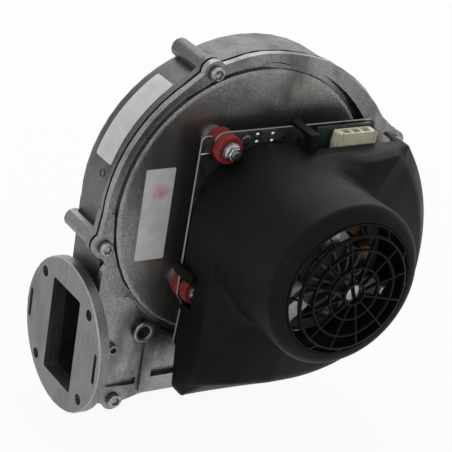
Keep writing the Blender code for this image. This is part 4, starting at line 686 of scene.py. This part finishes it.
# Control board: green laminate with copper tracks under the varnish.
# It stands on three nylon posts and carries a storage capacitor in a dark sleeve.
def board_finish(name):
    """Green varnish: faint square tracks under it and a soft gloss."""
    dark_green, green, track_green = (0.008, 0.022, 0.012), (0.014, 0.032, 0.018), (0.020, 0.048, 0.026)
    made, shader, add, link = new_finish(name)
    place = add("ShaderNodeTexCoord").outputs["Object"]
    tracks = add("ShaderNodeTexVoronoi", feature="DISTANCE_TO_EDGE", distance="CHEBYCHEV", Scale=260.0)
    link(place, tracks.inputs["Vector"])
    share = scaled(add, link, tracks.outputs["Distance"], 1.0, 0.0, start=0.03, end=0.10)
    patch = clouds(add, link, place, scale=90.0, start=0.35, end=0.7)
    tone = blend(add, link, patch, dark_green, green)
    link(blend(add, link, share, tone, track_green), shader.inputs["Base Color"])
    shader.inputs["Roughness"].default_value = 0.34
    roughened(add, link, shader, share, strength=0.12, depth=0.0001)
    return made


dress(board_finish("board_varnish"), "control_board")
nylon = worn_finish("nylon_post", (0.58, 0.57, 0.52), (0.68, 0.67, 0.62), metallic=0.0, gloss=0.4, dull=0.55)
dress(nylon, "board_standoff_1", "board_standoff_2", "board_standoff_3")
can_sleeve = worn_finish("can_sleeve", (0.012, 0.014, 0.030), (0.020, 0.024, 0.050), metallic=0.0, gloss=0.28,
                         dull=0.4)
dress(can_sleeve, "storage_capacitor")
soften(0.0003, "storage_capacitor")

# Power connector: ivory nylon housing with three sockets that open upwards, soldered to the board.
# Tin-plated blades stand in the sockets, and a springy latch is moulded on the left end.
def block(u, v, w, corner):
    """Block with rounded edges all round: a rounded rectangle in u and v, drawn in at both ends of w."""
    ease = corner * (1 - np.sin(np.linspace(0.0, math.pi / 2, 5)))
    inset = np.concatenate([ease, ease[::-1]])
    rise = corner * (1 - np.cos(np.linspace(0.0, math.pi / 2, 5)))
    level = np.concatenate([w[0] + rise, w[1] - rise[::-1]])
    outline = rounded([(u[0], v[0]), (u[1], v[0]), (u[1], v[1]), (u[0], v[1])], (corner,) * 4, steps=5)
    centre = np.array([(u[0] + u[1]) / 2, (v[0] + v[1]) / 2])
    away = np.sign(outline - centre)
    rows = outline[None, :, :] - inset[:, None, None] * away[None, :, :]
    return placed(rows[:, :, 0], rows[:, :, 1], level[:, None])


ivory = worn_finish("ivory_nylon", (0.60, 0.56, 0.42), (0.74, 0.695, 0.545), metallic=0.0, gloss=0.36,
                    dull=0.5, scale=140.0, grain=0.06)
dress(ivory, "power_connector")
soften(0.0003, "power_connector")
tin = worn_finish("tin_blade", (0.55, 0.54, 0.50), (0.68, 0.67, 0.62), metallic=1.0, gloss=0.25, dull=0.4,
                  scale=300.0, grain=0.03)
middle_socket, socket_pitch, half_blade = 50.0, 6.55, 1.1
for number in range(3):
    u = middle_socket + socket_pitch * (number - 1)
    blade = block((u - half_blade, u + half_blade), v=(42.2, 49.4), w=(29.0, 29.9), corner=0.2)
    skin(f"contact_{number + 1}", blade, tin)


def latch(left, right, w, foot, top, lean):
    """Latch as a flat spring: a rounded section in u and w that leans out to the left as it goes down."""
    v = np.linspace(top, foot, 16)[:, None]
    share = (top - v) / (top - foot)
    section = [(left, w[0]), (right, w[0]), (right, w[1]), (left, w[1])]
    outline = rounded(section, (0.6, 0.1, 0.1, 0.6), steps=4)[None, :, :]
    outer = (outline[:, :, 0] < (left + right) / 2).astype(float)
    bow = lean * np.sin(math.pi * np.clip(share, 0.0, 1.0) * 0.8)
    return placed(outline[:, :, 0] - outer * bow, v, outline[:, :, 1])


spring = latch(left=36.6, right=37.42, w=(27.4, 31.8), foot=39.5, top=51.0, lean=1.3)
skin("connector_latch", spring, ivory)

# Hood: black moulded cover over motor and board, a round can that grows into a wide lower body.
# It is open at the top for the connector and at the left for a mount, and two hooks hold it on the plate.
black = worn_finish("black_moulding", (0.0058, 0.0058, 0.0059), (0.0074, 0.0074, 0.0075), metallic=0.0,
                    gloss=0.42, dull=0.52, scale=40.0, grain=0.07, sheen=0.08)


def hood_reach(turn, side, top, bottom, right, tall):
    """Reach of an outline of the hood from the shaft in each direction, found by halving.

    Upper left quarter: round. Left, top and bottom: flat. Right: a half oval, where across squared plus
    along squared is 1. Above its middle it is tall, so that the flat top cuts it at a corner, and below
    it ends level with the bottom.
    """
    middle, start = (top - bottom) / 2, 14.0
    low, high = np.zeros_like(turn), np.full_like(turn, 500.0)
    for step in range(40):
        half = (low + high) / 2
        u, v = half * np.cos(turn), half * np.sin(turn)
        height = np.where(v > middle, tall, (top + bottom) / 2)
        oval = (np.maximum(u - start, 0.0) / (right - start)) ** 2 + ((v - middle) / height) ** 2 <= 1
        flat = (u >= -side) & (v >= -bottom) & (v <= top)
        within = np.where((u <= 0) & (v >= 0), half <= side, flat & ((u <= start) | oval))
        low, high = np.where(within, half, low), np.where(within, high, half)
    return low


def steady(values, width):
    """Values round the circle, each averaged with its neighbours up to width steps away."""
    return sum(np.roll(values, k) for k in range(-width, width + 1)) / (2 * width + 1)


def hood_grid():
    """Hood as a ring of sections round the shaft, up the outside and down the inside, with rounded corners.

    A table row is an angle in degrees, the heights w of the side's top, the crest and the waist, and the cut
    at the crest.
    """
    degrees = np.arange(0.0, 360.0, 0.5)
    turn = np.radians(degrees)
    table = np.array([(0, 40, 54, 68, 3), (18, 40, 51.5, 66, 2.4), (28, 40, 48.5, 64, 2),
                      (34.5, 44, 51, 63, 1.6), (43.5, 51, 55.5, 61, 1.6), (51, 43, 47.5, 55, 1.6),
                      (58, 42, 46, 52, 2), (75, 46, 49, 53, 3), (90, 47, 50, 54, 3), (180, 47, 50, 54, 3),
                      (207, 46, 50, 55, 3), (242, 46, 50, 58.5, 3), (246.5, 37, 51.6, 60, 2),
                      (256, 37, 55.8, 64, 2), (270, 38, 60, 68, 5), (300, 39, 60, 70, 7),
                      (330, 40, 57, 70, 5), (360, 40, 54, 68, 3)])
    levels = [np.interp(degrees, table[:, 0], table[:, k]) for k in range(1, 5)]
    upper_right = (degrees > 20.0) & (degrees < 66.0)
    smoothed = (np.where(upper_right, steady(level, 10), steady(level, 3)) for level in levels)
    side, crest, waist, crease = smoothed
    can_radius, wall, foot_w, raised_w = 44.5, 2.2, 21.1, 34.0
    rim_w, rim, opening, rise = 106.0, 47.0, 38.5, 5.0
    base = steady(hood_reach(turn, can_radius, can_radius, bottom=101.0, right=106.8, tall=105.0), 1)
    front_edge = steady(hood_reach(turn, side=43.2, top=43.1, bottom=86.5, right=93.0, tall=90.0), 1)

    def can(w):
        """Radius of the round can at a height, which grows evenly from the foot to the rim."""
        return can_radius + (rim - can_radius) * (w - foot_w) / (rim_w - foot_w)

    u, v = base * np.cos(turn), base * np.sin(turn)
    at_connector = (v > 35.5) & (u > 12.8) & (u < 78.5)
    at_lower_left = (u < -32.5) & (v < -51.9)
    at_mount = (u < -26.9) & (v > -50.9) & (v < -30.3)
    slant = 24.6 + 3.2 * np.clip((-73.7 - v) / 29.3, 0.0, 1.0)
    foot = np.full_like(turn, foot_w)
    foot = np.where(at_connector, raised_w, foot)
    foot = np.where(at_lower_left, slant, foot)
    foot = np.where(at_mount, raised_w, foot)
    edge = np.maximum(front_edge, can(crest))
    fillet = 7.0 * np.clip((edge - can(crest)) / 14.0, 0.2, 1.0)
    hollow_foot = np.maximum(np.minimum(can(waist) + fillet, edge), can(waist))
    hollow_w, neck = waist + 3.0, waist + 9.0
    hollow = np.minimum(can(hollow_w) + 0.3 * fillet, np.maximum(hollow_foot, can(hollow_w)))
    band, front = rim - opening, rim_w + rise
    outside = [(base, foot), (np.maximum(base, can(side)), side), (edge, crest), (hollow_foot, waist),
               (hollow, hollow_w), (can(neck), neck), (rim, rim_w), (rim - 0.25 * band, rim_w + 0.6 * rise),
               (rim - 0.6 * band, rim_w + 0.92 * rise), (opening, front)]
    inside = [(opening, front - wall), (rim - wall - 1.4, rim_w - 0.5), (can(neck) - wall, neck - 0.3 * wall),
              (hollow_foot - wall, waist - wall), (edge - wall, crest - wall),
              (base - wall, side - 1.0 - wall), (base - wall, foot)]
    corners = [np.broadcast_arrays(r, w, turn)[:2] for r, w in outside + inside]
    crease = crease[:, None]
    outside_cuts = (0.5, 0.8 * crease, crease, 6.0, 4.0, 14.0, 1.4, 2.0, 2.0, 0.5)
    inside_cuts = (0.5, 1.0, 2.0, 2.0, 2.0, 2.0, 0.5)
    line = rounded(np.array(corners).transpose(0, 2, 1), outside_cuts + inside_cuts, steps=5)
    return placed(line[:, :, 0] * np.cos(turn), line[:, :, 0] * np.sin(turn), line[:, :, 1])


skin("hood", hood_grid(), black, stands_for=("motor_cover",), ring=True, crease=50.0)


def strip(outline, cut, low, high, across):
    """Hook of even width: a rounded outline drawn along one direction, its ends slightly drawn in."""
    line = rounded(outline, (cut,) * len(outline), steps=4)
    centre = line.mean(axis=0)
    step = np.array([(low, 0.985), (low + 0.3, 1.0), (high - 0.3, 1.0), (high, 0.985)])
    rows = centre + step[:, 1, None, None] * (line - centre)[None, :, :]
    return across(step[:, 0, None] + 0 * rows[:, :, 0], rows[:, :, 0], rows[:, :, 1])


upper_outline = [(49.6, 16.4), (54.9, 16.4), (54.9, 38.0), (41.6, 38.0), (41.6, 33.0), (50.0, 33.0),
                 (52.9, 29.0), (52.9, 18.4), (49.6, 18.4)]
upper_hook = strip(upper_outline, cut=0.4, low=13.8, high=19.6, across=placed)
skin("upper_hook", upper_hook, black)
side_outline = [(-42.3, 16.4), (-47.6, 16.4), (-47.6, 35.1), (-45.7, 35.1), (-45.0, 34.1), (-44.1, 34.1),
                (-44.1, 21.5), (-45.7, 21.5), (-45.7, 18.4), (-42.3, 18.4)]
side_hook = strip(side_outline, cut=0.4, low=-31.0, high=-25.0,
                  across=lambda along, a, b: placed(a, along, b))
skin("side_hook", side_hook, black)

# Grille: domed spider web of four rings and thin spokes.
# Black moulded plastic like the hood, clipped into its round opening.
def web_grille():
    """Web as one polar grid of cells, two layers deep: whole rings, and spokes of even width between them.

    Front height: a crown that falls evenly to the outer ring, then a straight step to the opening's edge.
    """
    rings, bar, edge, deep, steps, positions = np.array([6.2, 15.1, 25.1, 33.0]), 1.1, 38.2, 2.2, 4, 24
    opening_w, rise, crown, outer = 111.0, 5.0, 1.5, 33.0
    radii = np.append(np.column_stack([rings - bar / 2, rings + bar / 2]).ravel(), [edge - 0.7, edge])
    pitch = 2 * math.pi / positions
    half = np.arcsin(0.8 * bar / 2 / radii)[:, None, None]
    begin = pitch * np.arange(positions)[None, :, None]
    share = (np.arange(steps) / steps)[None, None, :]
    gap = begin + half + (pitch - 2 * half) * share
    turn = np.concatenate([begin - half + 0 * half, gap], axis=2).reshape(len(radii), -1)
    columns = turn.shape[1]
    fall = rise * np.clip((radii - outer) / (edge - outer), 0, 1)
    height = opening_w + rise + crown * (1 - np.minimum(radii, outer) / outer) - fall
    u, v = radii[:, None] * np.cos(turn), radii[:, None] * np.sin(turn)
    layers = [placed(u, v, (height - drop)[:, None]) for drop in (0.0, deep)]
    points = np.concatenate([layer.reshape(-1, 3) for layer in layers])

    row = np.arange(len(radii) - 1)[:, None]
    position, cell = np.divmod(np.arange(columns)[None, :], steps + 1)
    wanted = np.where(row == len(radii) - 3, 0, 1)
    full = (row % 2 == 0) | ((cell == 0) & (position % 2 == wanted))
    number = np.arange(len(radii) * columns).reshape(len(radii), columns)
    onward = np.roll(number, -1, axis=1)
    a, b, c, d = number[:-1], number[1:], onward[1:], onward[:-1]
    under = len(radii) * columns
    closed = np.pad(full, ((1, 1), (0, 0)))
    sides = ((a, b, np.roll(full, 1, axis=1)), (b, c, closed[2:]),
             (c, d, np.roll(full, -1, axis=1)), (d, a, closed[:-2]))
    faces = [np.stack([a, b, c, d], axis=-1)[full], np.stack([d, c, b, a], axis=-1)[full] + under]
    for near, far, beside in sides:
        faces.append(np.stack([far, near, near + under, far + under], axis=-1)[full & ~beside])
    used, faces = np.unique(np.concatenate(faces), return_inverse=True)
    return points[used], faces.reshape(-1, 4).tolist()


points, faces = web_grille()
web = piece_of("web_grille", points, faces, black, "blower", ("cover_grille",))
round_edges(web, 0.0001, bend=50)

# Studio: a pale paper floor, a pale room, one large soft lamp above and one at the left.
# Floor and room look white to the camera and in mirroring metal, and the floor keeps the blower's shadow.
def show_white(add, link, plain, white, most, output):
    """A plain shader that turns white for rays from the camera, a mirror or glass, up to the most share."""
    rays = add("ShaderNodeLightPath")
    both = add("ShaderNodeMath", operation="ADD")
    link(rays.outputs["Is Camera Ray"], both.inputs[0])
    link(rays.outputs["Is Glossy Ray"], both.inputs[1])
    every = add("ShaderNodeMath", operation="ADD", use_clamp=True)
    link(both.outputs["Value"], every.inputs[0])
    link(rays.outputs["Is Transmission Ray"], every.inputs[1])
    choice = add("ShaderNodeMixShader")
    link(scaled(add, link, every.outputs["Value"], 0.0, most), choice.inputs["Fac"])
    link(plain, choice.inputs[1])
    link(white, choice.inputs[2])
    link(choice.outputs["Shader"], output.inputs["Surface"])


world = bpy.data.worlds.new("studio_air")
bpy.context.scene.world = world
world.use_nodes = True
add, link = node_tools(world.node_tree)
room = world.node_tree.nodes["Background"]
room.inputs["Color"].default_value = (1.0, 1.0, 1.0, 1.0)
room.inputs["Strength"].default_value = 0.46
white = add("ShaderNodeBackground", Color=(1.0, 1.0, 1.0, 1.0), Strength=1.0)
show_white(add, link, room.outputs["Background"], white.outputs["Background"], most=1.0,
           output=world.node_tree.nodes["World Output"])

floor_z, floor_half = cad_box[0][2] - 0.0005, 3
floor_corners = [(floor_half * x, floor_half * y, floor_z) for x, y in ((-1, -1), (1, -1), (1, 1), (-1, 1))]
floor_mesh = bpy.data.meshes.new("floor")
floor_mesh.from_pydata(floor_corners, [], [(0, 1, 2, 3)])
floor = bpy.data.objects.new("floor", floor_mesh)
bpy.context.scene.collection.objects.link(floor)
floor_finish, shader, add, link = new_finish("floor_paper")
shader.inputs["Base Color"].default_value = (0.8, 0.8, 0.8, 1.0)
shader.inputs["Roughness"].default_value = 0.9
glow = add("ShaderNodeEmission", Strength=1.0)
show_white(add, link, shader.outputs["BSDF"], glow.outputs["Emission"], most=0.93,
           output=floor_finish.node_tree.nodes["Material Output"])
floor_mesh.materials.append(floor_finish)


def soft_lamp(name, place, aim, size, power):
    """Square lamp that faces its aim."""
    data = bpy.data.lights.new(name, "AREA")
    data.size = size
    data.energy = power
    lamp = bpy.data.objects.new(name, data)
    lamp.location = place
    lamp.rotation_mode = "QUATERNION"
    lamp.rotation_quaternion = (Vector(aim) - Vector(place)).to_track_quat("-Z", "Y")
    bpy.context.scene.collection.objects.link(lamp)


soft_lamp("top_lamp", place=(0.6, 0.8, 1.25), aim=(0.1, 0.0, 0.1), size=1.6, power=12.0)
soft_lamp("side_lamp", place=(-1.2, -1.2, 0.8), aim=(0.1, 0.0, 0.1), size=1.0, power=4.0)

# Camera: a long lens from the front left and above, held slightly turned.
# It stands almost a metre in front of the hood, shifted so that the whole blower is in the picture.
azimuth, elevation, roll = np.radians([-35.21, 25.09, 9.48])
level = math.cos(elevation)
back = np.array([math.sin(azimuth) * level, -math.cos(azimuth) * level, math.sin(elevation)])
right = np.array([math.cos(azimuth), math.sin(azimuth), 0.0])
up = np.cross(back, right)
sideways = right * math.cos(roll) + up * math.sin(roll)
upright = up * math.cos(roll) - right * math.sin(roll)
hood_front, shift_left, shift_up, distance = placed(0.0, 0.0, 116.0), 0.0667, 0.03538, 0.94954
stand = hood_front - shift_left * sideways + shift_up * upright + distance * back
pose = np.eye(4)
pose[:3, :3] = np.column_stack([sideways, upright, back])
pose[:3, 3] = stand
lens = bpy.data.cameras.new("camera")
lens.lens = 145.08
lens.sensor_width = 36.0
camera = bpy.data.objects.new("camera", lens)
camera.matrix_world = Matrix(pose.tolist())
bpy.context.scene.collection.objects.link(camera)
bpy.context.scene.camera = camera
bpy.context.scene.view_settings.view_transform = "Standard"
